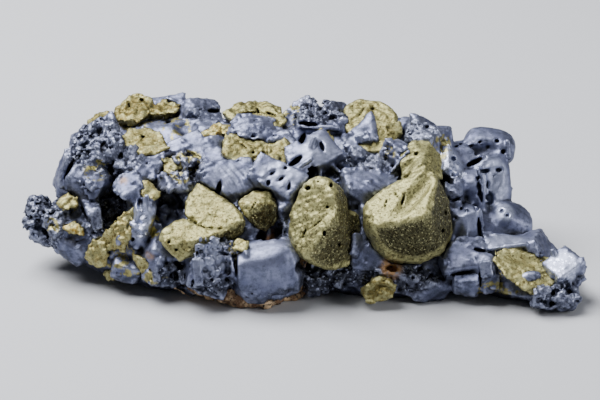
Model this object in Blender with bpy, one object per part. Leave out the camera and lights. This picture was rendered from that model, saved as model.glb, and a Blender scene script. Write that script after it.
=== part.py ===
"""Chalcopyrite crystals grown on and in a mass of etched galena, with a rim of host rock under it.

Frame: +X to the right along the length, +Y away from the front, +Z up, origin at the bottom centre.
Sizes are in millimetres until add_object turns them into metres.
Corners are written as they are seen from the front: how far across, how far up in the view, and how deep.
"""

import itertools
import math
import random

import bmesh
import bpy
from mathutils import Euler, Matrix, Vector

METRES_PER_MM = 0.001

# Overall size of the specimen
LENGTH = 150.0
DEPTH = 60.0

# The front view that the corners are read in: it looks down a little, from far enough to be nearly flat
VIEW_ELEVATION = math.radians(25)
VIEW_DISTANCE = 800.0
VIEW_CENTRE = Vector((-0.9, 0.0, 19.8))

# Seams between pieces that touch, and how much further a sharp corner of a seat may reach
SEAM_GAP = 0.4
LONGEST_STRETCH = 2.5

# Galena blocks are uneven: how far each corner may be drawn in or out, as a share of its place
CORNER_SHARE = (0.70, 1.10)
EXTRA_CORNERS = 2
BLOCK_SEED = 5

# Small galena blocks scattered all round, and larger ones on the back and the right end: how many, from
# which size to which. The low left tip, left of the start, has none.
SCATTER_SEED = 12
SMALL_SCATTER = (22, 3.0, 6.5)
BACK_SCATTER = (44, 7.0, 14.0)
SCATTER_START = -60.0

# How far a block's extra corners stand out, and how far scattered blocks may lean, in radians
EXTRA_REACH = 0.62
SCATTER_LEAN = 0.7

# Faces of the body that look this far back or sideways get the larger blocks
FACING_BACK = 0.15
FACING_SIDEWAYS = 0.6

# How much of a rounded crystal's edges is etched away, as a share of its size
ETCHED_EDGE = 0.3

# What counts as one flat face when a cut solid is tidied, and when a crystal's edges are worn
FLAT_ANGLE = math.radians(1.5)
WORN_FLAT_ANGLE = math.radians(7)

# The shape of a section between its given points, as shares of the way, and in millimetres at the back
BELLY_HEIGHT = 0.45
SLOPE_HEIGHT = 0.58
TOP_LENGTH = 0.12
BACK_SHOULDER_HEIGHT = 0.72
BACK_BELLY_HEIGHT = 0.35
BACK_TOP_DROP = 1.0
BACK_SHOULDER_INSET = 1.5
BACK_FOOT_INSET = 3.0

# Finishes: linear colour, metallic value and roughness
GALENA_FINISH = ((0.17, 0.19, 0.26, 1.0), 0.6, 0.45)
CHALCOPYRITE_FINISH = ((0.36, 0.33, 0.16, 1.0), 0.7, 0.5)
ROCK_FINISH = ((0.36, 0.22, 0.12, 1.0), 0.0, 0.9)

# Cross-sections of the galena body, left to right:
# x, foot y, belly y, shoulder y and z, top y and z, back y, bottom z
SECTIONS = [
    (-74.0, -2, -3, -2, 12, 1, 14.5, 4, 9),
    (-68.0, -3, -6, -4, 13, 2, 17, 9, 7),
    (-65.0, -5, -8, -6, 14, 4, 19, 11, 7),
    (-62.0, -7, -11, -8, 17, 7, 25, 15, 6),
    (-54.0, -11, -14, -10, 19, 16, 32, 24, 3),
    (-42.0, -15, -18, -13, 20, 18, 35, 26, 1),
    (-28.0, -19, -21, -15, 20, 17, 36, 26, 0),
    (-12.0, -22, -24, -17, 19, 15, 35, 25, 0),
    (4.0, -14, -20, -16, 20, 14, 35, 26, 0),
    (20.0, -20, -21, -16, 19, 13, 34, 25, 0),
    (34.0, -18, -20, -13, 17, 11, 30, 23, 0),
    (46.0, -15, -19, -14, 10, 8, 20, 19, 0),
    (54.0, -20, -24, -19, 8, -2, 12, 11, 0),
    (64.0, -24, -27, -23, 5, -17, 8, -11, 1),
    (73.0, -24, -26, -24, 5, -20, 7, -16, 2),
]

# Galena blocks and slabs: where the middle is seen, size across, deep and high, and turn in degrees
GALENA_BLOCKS = [
    ("star crystal", (4, 11.5, 1), (15, 11, 7), (28, -14, 24)),
    ("star crystal, left arm", (-2, 12.5, 3), (12, 6, 5), (20, 24, -38)),
    ("etched block", (-6, 5, -7), (14, 10, 8), (34, 18, -22)),
    ("rippled slab", (-19, 4.5, -6), (16, 11, 6), (38, -8, 12)),
    ("ribbed block, upper left", (-20, 9, 1), (14, 8, 6), (30, 6, -8)),
    ("slanted face", (18, 3, -6), (15, 10, 8), (20, 10, 10)),
    ("bright shelf", (21, 8, 0), (12, 8, 5), (16, -6, -6)),
    ("rough top", (17, 12, 6), (12, 8, 7), (24, 10, 30)),
    ("cleaved block", (26, 11, 2), (8, 8, 9), (8, 14, 42)),
    ("sparkling knob", (33, 17.6, 13), (8.5, 8, 6.5), (20, 30, 24)),
    ("bright patch", (40.5, 8.5, 6), (9, 9, 6), (36, 44, 20)),
    ("small block right", (41, 1, -3), (5, 7, 9), (8, 6, -10)),
    ("tall block right", (44.5, -8, -8), (8, 9, 13), (-6, 2, 18)),
    ("dark column", (46.5, 2, 3), (5, 8, 13), (10, -6, 8)),
    ("slab right front", (44.5, -16, -18), (13, 10, 6), (28, -6, 8)),
    ("low block right", (45, -21.5, -20), (8, 8, 6), (10, 4, -4)),
    ("low blocks, arm root", (50.5, -20, -21), (5, 7, 9), (12, -8, 14)),
    ("platform", (55.5, -13, -13), (13, 8, 5), (10, 8, -8)),
    ("tip block", (71.5, -19, -20), (10, 10, 10), (18, -24, 30)),
    ("tip underside", (69, -26, -26), (13, 9, 6), (6, 12, 12)),
    ("pitted front block", (-24, -17, -21.5), (13, 10.5, 15.5), (-18, 22, 10)),
    ("front column", (-28, -19, -22), (4, 6, 9), (-8, 14, 6)),
    ("low left block", (-47, -18, -15), (8, 7, 6), (14, 12, -6)),
    ("small tabular crystals", (-37, -19, -19), (9, 6, 7), (8, 20, 34)),
    ("left plate", (-57.5, 4, -2), (11, 9, 11), (18, 24, -20)),
    ("left edge plate", (-63, 7, 2), (4, 9, 12), (10, 16, 12)),
    ("left facets", (-46, 2.5, -7), (8, 8, 7), (26, -20, 14)),
    ("rounded plates", (-55.5, -5, -8), (4, 8, 9), (6, -10, 12)),
    ("tip lump", (-71, -4, 0), (7, 9, 7), (22, 18, 30)),
    ("tip lump, right", (-64, -8, -6), (8, 8, 8), (30, -12, 20)),
    ("tip lump, low", (-60, -12, -8), (8, 9, 6), (12, 24, -18)),
    ("left spongy shoulder", (-54, 14, 6), (13, 12, 9), (32, -18, 16)),
    ("upper left ledge", (-43, 9.2, 1), (14, 10, 6.5), (26, 10, -12)),
    ("upper left corner", (-56.5, 15, 14), (8, 9, 8), (14, 34, 22)),
    ("top left ridge", (-36, 25.3, 28), (13, 7, 6), (8, -6, -8)),
    ("top left back", (-27, 23.4, 24), (11, 8, 6), (16, 20, 16)),
    ("skyline left of centre", (1.5, 21.6, 20), (11, 9, 6), (20, -22, 30)),
    ("skyline slab", (6, 20.5, 14), (13, 8, 4), (14, 6, -4)),
    ("skyline sponge", (9, 21.8, 21), (9, 8, 6), (34, 18, 42)),
    ("middle ledge", (-12, 18, 10), (14, 9, 6), (18, 8, 10)),
    ("middle left ledge", (-30, 12, 5), (12, 10, 7), (30, -14, 20)),
    ("front left ledge", (-38, -14, -17), (8, 7, 6), (20, 30, 10)),
    ("under the centre crystal", (6, -20.5, -17), (13, 8, 7), (6, -10, 14)),
    ("under the big crystal", (27, -21, -19), (14, 8, 7), (4, 12, -10)),
    ("low front, right of centre", (35, -23, -19), (10, 8, 7), (12, 16, 26)),
    ("pocket wall", (-34, 4, -5), (9, 8, 6), (22, 12, 30)),
    ("dark wall right of the heart", (-4, -3, -10), (6, 9, 10), (10, -14, 24)),
]

# Rounded galena crystals: where the middle is seen, size across, deep and high, and turn in degrees
ROUNDED_CRYSTALS = [
    ("upper right", (51, 14.5, 17), (14, 9, 8.5), (10, 8, -10)),
    ("dome behind the bright patch", (44.5, 11.5, 13), (10, 9, 8), (8, -10, 6)),
    ("spoon", (51.3, 5.4, 9), (10.5, 8, 15.5), (-24, 10, 30)),
    ("dark rounded", (56, -6.5, 2), (11.5, 10, 10.5), (12, 24, 16)),
    ("front dome", (-9, -18.9, -23), (18, 12, 16), (4, -12, 4)),
    ("pale blade", (-43, -6, -14), (5.5, 6, 13.5), (-14, 22, 8)),
]

# Hollows: where the middle is seen, size across, deep and high, and turn in degrees
HOLLOWS = [
    ("left cavity", (-50.5, -3.5, -8), (8, 13, 13), (10, 18, 10)),
    ("middle cavity", (-35.5, -2.5, -10), (9, 14, 9), (8, -10, 6)),
    ("top cavity", (-31, 20.5, 14), (7, 9, 6), (20, 0, 20)),
    ("slot under the skyline", (-23.5, 24, 22), (5, 6, 2), (0, 10, 10)),
    ("deep slot in the star crystal", (2.5, 8, -3), (3.4, 9, 6), (20, 32, 0)),
    ("upper slot in the star crystal", (0.5, 16, 4), (1.6, 7, 5), (10, 34, 0)),
    ("dark hollow right", (39, 5, 0), (4, 9, 4), (0, 10, 20)),
    ("gap behind the heart", (-8, -9.5, -17), (8, 9, 5), (0, -20, 0)),
    ("hollow under the spoon", (52, -2.5, -3), (6, 9, 4), (0, 14, 10)),
    ("tip hollow", (-69, -9, -5), (3, 5, 3), (0, 0, 20)),
    ("hollow under the centre crystal", (2, -17.5, -24), (9, 12, 4), (0, 6, 0)),
]

# Galena that grew over the front of the top right crystal: corners as seen
TRIANGULAR_PATCH = [
    (12.5, 17.5, 9.0), (19.5, 24.8, 13.0), (21.5, 15.5, 5.5), (18.5, 17.0, 5.0), (14.0, 14.0, 6.0),
    (21.0, 14.0, 9.0), (14.0, 14.0, 12.0), (19.0, 21.0, 17.0),
]

# Host rock: corners of its upper side as seen; its lower side is flat on z = 0
ROCK_TOP = [
    (-33.0, -21.6, -17), (-30.0, -23.0, -21), (-24.0, -25.8, -24.0), (-16.0, -26.8, -26), (-8.0, -26.8, -27.5),
    (-1.5, -25.2, -22), (6.0, -21.6, -14), (10.0, -10.0, 6.0), (-4.0, -5.0, 17.0), (-24.0, -6.0, 15.0),
    (-34.0, -13.0, 0.0),
]
ROCK_BOTTOM = [
    (-29.0, -15), (-24.0, -22.0), (-15.0, -25.5), (-8.0, -26.5), (-1.0, -20.5), (5.0, -12.0), (9.0, 4.0),
    (-4.0, 15.0), (-23.0, 12.0), (-31.0, -2.0),
]

# Chalcopyrite crystals: corners as seen. Several lists under one name are crystals grown together.
CRYSTALS = {
    "big_right": [
        [
            (17.5, -1.0, -16), (21.5, 2.5, -13.5), (26.5, 3.5, -14), (33.0, 9.0, -10.5), (36.5, 7.0, -13.5),
            (36.0, 1.5, -19.5), (34.5, -4.5, -25.5), (25.5, -6.0, -24), (20.5, -7.5, -24), (17.0, -7.0, -18),
            (19.0, -11.5, -18), (22.0, -15.0, -20), (25.5, -17.2, -20), (32.0, -17.3, -20), (38.5, -15.0, -19),
            (40.0, 0.5, -12), (41.0, -6.0, -13), (41.0, -10.0, -14), (20.0, -3.0, 0), (35.0, 5.0, 2),
            (38.0, -8.0, 2), (22.0, -12.0, 0),
        ],
        [
            (27.3, 12.5, -1), (30.5, 16.0, 5), (35.0, 15.6, 4.5), (37.6, 12.5, 1.5), (38.4, 6.0, -7),
            (27.2, 5.5, -9.5), (33.0, 9.5, -10), (32.0, 6.0, 5), (35.0, 4.0, 2),
        ],
    ],
    "big_centre": [
        [
            (2.0, 5.5, -16), (6.0, 6.5, -17.5), (9.0, 5.0, -17), (10.0, 1.0, -23), (9.5, -5.5, -26.5),
            (6.0, -10.5, -27), (3.0, -15.5, -28), (0.0, -15.5, -26), (-2.0, -13.0, -23.5), (-3.0, -9.5, -21),
            (-2.5, -4.0, -18.5), (0.0, 2.5, -16.5), (12.0, 2.5, -14), (13.0, -1.5, -15), (14.0, -15.0, -20),
            (13.5, -18.0, -19), (11.0, -19.0, -21), (7.5, -19.5, -24), (0.0, 0.0, -4), (10.0, 4.0, -4),
            (13.0, -6.0, 0), (2.0, -10.0, -4),
        ],
        [
            (13.0, -2.5, -13), (16.0, -4.0, -14), (16.1, -9.5, -16), (15.4, -15.0, -17), (13.0, -16.5, -19),
            (12.0, -4.0, -18), (12.0, -8.0, -3), (13.5, -12.0, -5),
        ],
    ],
    "left_pair": [
        [
            (-27.5, 5.0, -7), (-31.0, 0.0, -11), (-31.5, -4.0, -14.5), (-26.5, -7.5, -19), (-20.0, -8.0, -21),
            (-14.5, -5.5, -19.5), (-23.0, 2.0, -10.5), (-18.0, -1.5, -15), (-15.5, -9.0, -18), (-19.0, -11.0, -20),
            (-27.0, 3.0, -1), (-18.0, -2.0, -4), (-29.0, -4.0, -6), (-18.0, -8.0, -8),
        ],
        [
            (-38.0, -11.0, -21), (-37.0, -8.0, -20), (-31.5, -5.0, -17), (-29.5, -5.5, -17.5),
            (-26.5, -7.5, -20), (-27.5, -11.0, -24), (-30.5, -15.5, -25), (-32.5, -16.5, -25),
            (-37.0, -12.0, -23), (-34.0, -6.0, -11), (-28.0, -8.0, -11), (-31.0, -13.0, -13), (-36.0, -10.0, -13),
        ],
        [
            (-27.0, -7.8, -20.5), (-20.0, -8.2, -21.5), (-21.0, -10.2, -22), (-31.0, -15.8, -24.5),
            (-28.0, -11.0, -24), (-22.0, -9.0, -13), (-28.0, -12.0, -14),
        ],
    ],
    "heart": [
        [
            (-17.0, -0.5, -14), (-12.5, 2.5, -10), (-8.0, 2.5, -11), (-6.0, -2.0, -14), (-6.5, -6.0, -15),
            (-9.0, -8.5, -16), (-11.0, -8.0, -17), (-14.5, -5.0, -17), (-11.5, -1.5, -17.5), (-14.0, 0.0, -3),
            (-8.0, 1.0, -3), (-9.0, -5.0, -5),
        ],
    ],
    "upper_pair": [
        [
            (-20.0, 17.5, 6), (-16.5, 17.8, 7), (-10.0, 15.5, 5), (-8.0, 15.0, 4), (-12.0, 12.0, 0),
            (-16.0, 9.5, -3), (-20.0, 12.0, -1), (-21.0, 12.5, 0), (-20.5, 16.0, 5), (-19.0, 10.0, 8),
            (-10.0, 9.0, 8), (-15.0, 6.5, 3),
        ],
        [
            (-8.5, 15.0, 3), (-4.0, 16.5, 4), (-2.0, 14.5, 3), (-2.0, 12.5, 1), (-4.0, 9.5, -2.5),
            (-8.5, 10.5, -1.5), (-4.0, 10.0, 8), (-8.0, 8.0, 6), (-10.0, 13.0, 3),
        ],
        [
            (-12.5, 11.0, -2.5), (-6.0, 12.0, -1.5), (-5.5, 9.5, -3.5), (-11.0, 9.0, -4), (-10.0, 7.5, 2),
            (-6.0, 7.5, 2),
        ],
    ],
    "top_right": [
        [
            (11.0, 20.0, 13.5), (12.0, 25.0, 19), (14.0, 27.0, 22), (17.0, 27.6, 23), (22.5, 26.2, 21),
            (26.0, 23.5, 17), (26.2, 19.5, 12), (24.0, 16.5, 8.5), (20.5, 15.5, 7), (13.0, 17.0, 10),
            (15.0, 21.0, 29), (24.0, 20.0, 27), (14.0, 12.0, 16), (23.0, 12.0, 15),
        ],
        [
            (13.5, 14.5, 5.5), (20.0, 16.0, 6.5), (27.0, 16.0, 6.5), (27.2, 14.0, 4.5), (20.0, 13.0, 3.5),
            (17.0, 12.0, 10), (26.0, 12.0, 12), (22.0, 17.0, 11),
        ],
        [
            (23.5, 20.5, 11), (27.0, 21.0, 13), (27.6, 18.0, 10), (25.0, 16.0, 8.5), (25.0, 15.0, 13),
            (22.5, 17.0, 14),
        ],
    ],
    "top_bead": [
        [
            (4.3, 18.5, 8), (6.0, 19.6, 9), (8.2, 18.6, 9), (8.8, 16.0, 7.5), (7.2, 14.2, 6), (4.8, 15.4, 6.5),
            (5.5, 14.5, 12), (8.0, 14.5, 12),
        ],
    ],
    "right_bead": [
        [
            (34.8, 15.8, 9), (37.5, 16.8, 10), (40.0, 15.8, 10), (40.2, 13.0, 8), (37.0, 12.0, 6),
            (35.0, 13.0, 7), (36.0, 11.0, 12), (39.5, 11.0, 12),
        ],
    ],
    "back_dome": [
        [
            (-21.0, 23.5, 17), (-17.0, 26.0, 23), (-12.0, 26.8, 24.5), (-8.5, 25.8, 23), (-5.0, 25.2, 21),
            (-4.0, 21.5, 14), (-5.5, 19.3, 10.5), (-10.0, 19.3, 10), (-16.5, 20.4, 12), (-16.0, 18.0, 28),
            (-7.0, 18.0, 27), (-13.0, 16.0, 18),
        ],
    ],
    "back_strip": [
        [
            (-28.5, 16.8, 9), (-23.0, 20.2, 12), (-18.5, 20.4, 12), (-15.0, 18.6, 10.5), (-17.5, 18.0, 9.5),
            (-24.0, 17.3, 8), (-23.0, 14.5, 14), (-18.0, 14.5, 14),
        ],
    ],
    "top_left": [
        [
            (-58.0, 20.5, 19), (-55.0, 23.0, 23), (-51.5, 24.0, 25), (-49.0, 22.5, 22), (-51.5, 19.0, 14),
            (-54.5, 17.5, 12), (-53.0, 15.0, 24), (-50.0, 17.0, 20),
        ],
        [
            (-50.5, 24.5, 24), (-45.5, 28.6, 29), (-42.5, 28.6, 29), (-39.5, 26.5, 26), (-40.0, 24.0, 21),
            (-43.5, 21.0, 15), (-49.0, 21.5, 17), (-44.0, 20.0, 29), (-48.0, 19.0, 22),
        ],
        [
            (-40.5, 25.0, 24), (-37.0, 27.2, 27), (-32.0, 25.8, 25), (-33.0, 23.8, 21), (-40.0, 23.0, 20),
            (-36.0, 20.0, 26),
        ],
    ],
    "upper_plate": [
        [
            (-48.0, 17.0, 8.5), (-46.0, 18.8, 10.5), (-41.5, 19.6, 11.5), (-38.0, 18.2, 8.5), (-35.5, 14.0, 3),
            (-38.5, 12.6, 1.5), (-43.0, 12.0, 0.5), (-46.8, 14.6, 4.5), (-42.0, 11.5, 8), (-40.0, 13.5, 11),
        ],
    ],
    "small_wedge": [
        [
            (-37.5, 11.0, 0.5), (-35.0, 12.0, 2.5), (-29.0, 10.0, 0.5), (-32.0, 8.3, -1.5), (-37.0, 7.3, -3.5),
            (-34.0, 6.0, 3),
        ],
    ],
    "left_speckled": [
        [
            (-65.5, 0.0, -6), (-62.5, 2.0, -5), (-60.0, 1.0, -7.5), (-60.0, -2.0, -10), (-63.0, -3.0, -10),
            (-65.0, -2.0, -8), (-62.0, -1.5, 1),
        ],
    ],
    "left_yellow": [
        [
            (-64.5, -7.5, -11), (-61.0, -5.5, -10), (-58.5, -7.0, -11), (-58.5, -9.5, -13), (-62.0, -9.2, -13),
            (-60.5, -7.5, -4),
        ],
    ],
    "left_crust": [
        [
            (-58.0, -15.0, -14), (-55.5, -11.0, -13), (-53.0, -11.5, -15), (-51.5, -14.5, -16.5),
            (-53.5, -17.8, -15.5), (-56.5, -17.5, -14), (-55.0, -14.0, -7),
        ],
        [
            (-44.5, -1.5, -13), (-48.5, -4.5, -14.5), (-52.0, -7.5, -14.5), (-54.0, -11.0, -14),
            (-51.5, -13.5, -16), (-47.0, -14.0, -18.5), (-46.0, -10.0, -18), (-48.0, -8.0, -8),
            (-51.0, -11.0, -8),
        ],
    ],
    "middle_left": [
        [
            (-43.5, 5.0, -7), (-40.0, 4.5, -8), (-38.0, 1.5, -10), (-39.5, -0.5, -12), (-43.0, 1.0, -11),
            (-41.0, 2.0, -3),
        ],
    ],
    "low_bead": [
        [
            (-53.2, -20.0, -12.5), (-52.0, -18.8, -12), (-50.5, -19.5, -13.5), (-50.4, -21.4, -14),
            (-52.0, -22.0, -13.5), (-51.5, -19.5, -8),
        ],
    ],
    "curved_plate": [
        [
            (-45.5, -14.5, -18.5), (-44.0, -18.5, -19.5), (-41.0, -21.0, -19.5), (-38.5, -19.0, -20.5),
            (-42.0, -16.0, -20.5), (-42.0, -17.0, -12),
        ],
    ],
    "front_chip": [
        [
            (-18.5, -12.0, -23.5), (-16.5, -10.5, -22.5), (-14.0, -11.5, -24), (-14.5, -13.5, -26),
            (-17.5, -13.8, -25.5), (-16.0, -12.0, -16),
        ],
    ],
    "low_centre": [
        [
            (16.0, -24.5, -25), (18.0, -27.4, -26.5), (24.5, -27.2, -27.5), (26.0, -23.5, -26), (21.0, -20.8, -24),
            (20.0, -22.5, -14), (23.0, -20.5, -15),
        ],
    ],
    "arm_plate": [
        [
            (52.0, -16.0, -22), (53.0, -14.0, -19), (58.0, -12.3, -15), (62.5, -14.0, -15.5), (68.0, -15.8, -16),
            (68.5, -18.0, -18.5), (68.5, -22.5, -25), (66.0, -24.5, -27.5), (63.5, -25.8, -28.5),
            (60.0, -23.8, -28), (55.0, -20.0, -26), (57.0, -19.0, -17), (65.0, -21.0, -17), (62.0, -25.0, -22),
        ],
    ],
}

# How far the edges of the larger crystals are worn off, one width for each crystal of the piece
EDGE_WEAR = {
    "big_right": (0.9, 0.0),
    "big_centre": (1.0, 0.0),
    "left_pair": (0.6, 0.6, 0.0),
    "heart": (0.6,),
    "top_right": (0.7, 0.0, 0.0),
}


def clear_scene():
    """Remove every object that is in the scene."""
    for old in list(bpy.data.objects):
        bpy.data.objects.remove(old, do_unlink=True)


def seen(across, up, depth):
    """The point at this depth that the front view shows at this place."""
    sin_view = math.sin(VIEW_ELEVATION)
    cos_view = math.cos(VIEW_ELEVATION)
    eye = VIEW_CENTRE + Vector((0.0, -cos_view, sin_view)) * VIEW_DISTANCE
    on_view = VIEW_CENTRE + Vector((across, up * sin_view, up * cos_view))
    ray = on_view - eye
    return eye + ray * ((depth - eye.y) / ray.y)


def material(name, look):
    """A plain surface with the colour, metallic value and roughness of its mineral."""
    colour, metallic, roughness = look
    finish = bpy.data.materials.new(name)
    finish.use_nodes = True
    shader = finish.node_tree.nodes["Principled BSDF"]
    shader.inputs["Base Color"].default_value = colour
    shader.inputs["Metallic"].default_value = metallic
    shader.inputs["Roughness"].default_value = roughness
    return finish


def hull(points):
    """A closed convex solid round the points, with near-flat neighbours merged into one face."""
    solid = bmesh.new()
    for point in points:
        solid.verts.new(point)
    made = bmesh.ops.convex_hull(solid, input=solid.verts)
    bmesh.ops.delete(solid, geom=made["geom_interior"], context="VERTS")
    bmesh.ops.recalc_face_normals(solid, faces=solid.faces)
    return solid


def wear_edges(solid, width):
    """Cut every edge of the solid off with one narrow flat."""
    if width > 0.0:
        bmesh.ops.dissolve_limit(solid, angle_limit=WORN_FLAT_ANGLE, verts=solid.verts, edges=solid.edges)
        bmesh.ops.bevel(solid, geom=solid.edges[:], offset=width, segments=1, affect="EDGES", clamp_overlap=True)
    return triangulated(solid)


def placement(place, turn):
    """Where a block stands, from where its middle is seen and how it is turned."""
    angles = Euler([math.radians(angle) for angle in turn])
    return Matrix.Translation(seen(*place)) @ angles.to_matrix().to_4x4()


def uneven_block(size, matrix, chance):
    """A galena block: a cleavage box whose corners were etched unevenly."""
    corners = []
    for signs in itertools.product((-0.5, 0.5), repeat=3):
        corners.append(Vector(side * sign * chance.uniform(*CORNER_SHARE) for side, sign in zip(size, signs)))
    for _ in range(EXTRA_CORNERS):
        way = Vector(chance.gauss(0.0, 1.0) for _ in range(3)).normalized()
        corners.append(Vector(side * part * EXTRA_REACH for side, part in zip(size, way)))
    return triangulated(hull([matrix @ corner for corner in corners]))


def triangulated(solid):
    """The solid with every face split into triangles."""
    bmesh.ops.triangulate(solid, faces=solid.faces)
    return solid


def rounded_crystal(place, size, turn, segments):
    """A flattened crystal whose corners were etched round, or a hollow of that shape."""
    solid = bmesh.new()
    bmesh.ops.create_cube(solid, size=1.0)
    bmesh.ops.bevel(solid, geom=solid.edges[:], offset=ETCHED_EDGE, segments=segments, profile=0.5, affect="EDGES")
    bmesh.ops.scale(solid, vec=size, verts=solid.verts)
    bmesh.ops.transform(solid, matrix=placement(place, turn), verts=solid.verts)
    return triangulated(solid)


def section_ring(foot_y, belly_y, shoulder_y, shoulder_z, top_y, top_z, back_y, bottom_z):
    """The outline of the galena body at one section, from the front foot over the top to the back."""
    return [
        (foot_y, bottom_z),
        (belly_y, bottom_z + BELLY_HEIGHT * (shoulder_z - bottom_z)),
        (shoulder_y, shoulder_z),
        ((shoulder_y + top_y) / 2, shoulder_z + SLOPE_HEIGHT * (top_z - shoulder_z)),
        (top_y - TOP_LENGTH * (top_y - shoulder_y), top_z),
        ((top_y + back_y) / 2, top_z - BACK_TOP_DROP),
        (back_y - BACK_SHOULDER_INSET, bottom_z + BACK_SHOULDER_HEIGHT * (top_z - bottom_z)),
        (back_y, bottom_z + BACK_BELLY_HEIGHT * (top_z - bottom_z)),
        (back_y - BACK_FOOT_INSET, bottom_z),
    ]


def galena_core():
    """The body of the galena, lofted through its sections."""
    solid = bmesh.new()
    rings = []
    for x, *outline in SECTIONS:
        rings.append([solid.verts.new((x, y, z)) for y, z in section_ring(*outline)])
    for near, far in zip(rings, rings[1:]):
        for index in range(len(near)):
            following = (index + 1) % len(near)
            solid.faces.new((near[index], near[following], far[following], far[index]))
    solid.faces.new(rings[0])
    solid.faces.new(list(reversed(rings[-1])))
    bmesh.ops.recalc_face_normals(solid, faces=solid.faces)
    return triangulated(solid)


def scattered_blocks(core):
    """Uneven blocks half sunk into the body: small ones all round, larger ones where it faces back."""
    chance = random.Random(SCATTER_SEED)
    inner = [face for face in core.faces if face.calc_center_median().x > SCATTER_START]
    behind = [face for face in inner if face.normal.y > FACING_BACK or abs(face.normal.x) > FACING_SIDEWAYS]
    blocks = []
    for faces, (count, smallest, largest) in ((inner, SMALL_SCATTER), (behind, BACK_SCATTER)):
        areas = [face.calc_area() for face in faces]
        for face in chance.choices(faces, weights=areas, k=count):
            shares = [1.0 - chance.random() for _ in face.verts]
            middle = sum((vert.co * share for vert, share in zip(face.verts, shares)), Vector()) / sum(shares)
            size = [chance.uniform(smallest, largest) for _ in range(3)]
            turn = Euler([chance.uniform(-SCATTER_LEAN, SCATTER_LEAN) for _ in range(3)])
            matrix = Matrix.Translation(middle) @ turn.to_matrix().to_4x4()
            blocks.append(uneven_block(size, matrix, chance))
    return blocks


def seat(corners):
    """The room that a crystal takes in the galena: its own form with the seam round it."""
    solid = hull(corners)
    solid.normal_update()
    moved = []
    for vert in solid.verts:
        stretch = min(vert.calc_shell_factor(), LONGEST_STRETCH)
        moved.append(vert.co + vert.normal * stretch * SEAM_GAP)
    return triangulated(hull(moved))


def combine(base, others, operation):
    """Join the others to the base, or cut them from it."""
    holder = bpy.data.collections.new("operands")
    bpy.context.scene.collection.children.link(holder)
    helpers = [plain_object("base", base)]
    bpy.context.scene.collection.objects.link(helpers[0])
    for other in others:
        helper = plain_object("operand", other)
        holder.objects.link(helper)
        helpers.append(helper)
    modifier = helpers[0].modifiers.new("combine", "BOOLEAN")
    modifier.solver = "EXACT"
    modifier.operation = operation
    modifier.operand_type = "COLLECTION"
    modifier.collection = holder
    result = evaluated_solid(helpers[0])
    for helper in helpers:
        bpy.data.objects.remove(helper, do_unlink=True)
    bpy.data.collections.remove(holder)
    return result


def plain_object(name, solid):
    """An object that holds a copy of the solid."""
    mesh = bpy.data.meshes.new(name)
    solid.to_mesh(mesh)
    return bpy.data.objects.new(name, mesh)


def tidy(solid):
    """Merge what lies flat together, so that few triangles carry the shape."""
    bmesh.ops.dissolve_limit(solid, angle_limit=FLAT_ANGLE, verts=solid.verts, edges=solid.edges)
    return triangulated(solid)


def evaluated_solid(piece):
    """What an object's modifiers make of it."""
    evaluated = piece.evaluated_get(bpy.context.evaluated_depsgraph_get())
    result = bmesh.new()
    result.from_mesh(evaluated.to_mesh())
    evaluated.to_mesh_clear()
    return result


def keep_largest(solid):
    """Drop the crumbs that a cut leaves loose beside the main body."""
    unvisited = set(solid.verts)
    bodies = []
    while unvisited:
        front = [unvisited.pop()]
        body = set(front)
        while front:
            for edge in front.pop().link_edges:
                for vert in edge.verts:
                    if vert not in body:
                        body.add(vert)
                        unvisited.discard(vert)
                        front.append(vert)
        bodies.append(body)
    largest = max(bodies, key=len)
    loose = [vert for vert in solid.verts if vert not in largest]
    bmesh.ops.delete(solid, geom=loose, context="VERTS")
    return solid


def box(low, high):
    """A plain box between two corners."""
    solid = bmesh.new()
    bmesh.ops.create_cube(solid, size=1.0)
    bmesh.ops.scale(solid, vec=[b - a for a, b in zip(low, high)], verts=solid.verts)
    bmesh.ops.translate(solid, vec=[(a + b) / 2 for a, b in zip(low, high)], verts=solid.verts)
    return solid


def outer_limits():
    """Slabs that cut the mass flat below and keep it within its stated length and depth."""
    far = 2 * LENGTH
    return [
        box((-far, -far, -far), (far, far, 0.0)),
        box((-far, -far, -far), (-LENGTH / 2, far, far)),
        box((LENGTH / 2, -far, -far), (far, far, far)),
        box((-far, -far, -far), (far, -DEPTH / 2, far)),
        box((-far, DEPTH / 2, -far), (far, far, far)),
    ]


def chalcopyrite(name):
    """One chalcopyrite piece: a crystal, or several grown together."""
    crystals = CRYSTALS[name]
    widths = EDGE_WEAR.get(name, [0.0] * len(crystals))
    grown = [
        wear_edges(hull([seen(*corner) for corner in corners]), width) for corners, width in zip(crystals, widths)
    ]
    if len(grown) == 1:
        return grown[0]
    return keep_largest(triangulated(combine(grown[0], grown[1:], "UNION")))


def rock_corners():
    """The corners of the host rock: a low slab, flat below and uneven above."""
    return [seen(*corner) for corner in ROCK_TOP] + [Vector((x, y, 0.0)) for x, y in ROCK_BOTTOM]


def seats():
    """The room for the rock and for every chalcopyrite crystal."""
    rooms = [seat(rock_corners())]
    for grown in CRYSTALS.values():
        rooms += [seat([seen(*corner) for corner in corners]) for corners in grown]
    return rooms


def galena():
    """The whole galena mass, hollowed, and cut out for what sits in it."""
    core = galena_core()
    chance = random.Random(BLOCK_SEED)
    parts = scattered_blocks(core)
    parts += [uneven_block(size, placement(place, turn), chance) for _, place, size, turn in GALENA_BLOCKS]
    parts += [rounded_crystal(place, size, turn, 2) for _, place, size, turn in ROUNDED_CRYSTALS]
    parts.append(triangulated(hull([seen(*corner) for corner in TRIANGULAR_PATCH])))
    mass = combine(core, parts, "UNION")
    hollows = [rounded_crystal(place, size, turn, 1) for _, place, size, turn in HOLLOWS]
    mass = combine(mass, hollows + seats() + outer_limits(), "DIFFERENCE")
    return keep_largest(tidy(mass))


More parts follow.
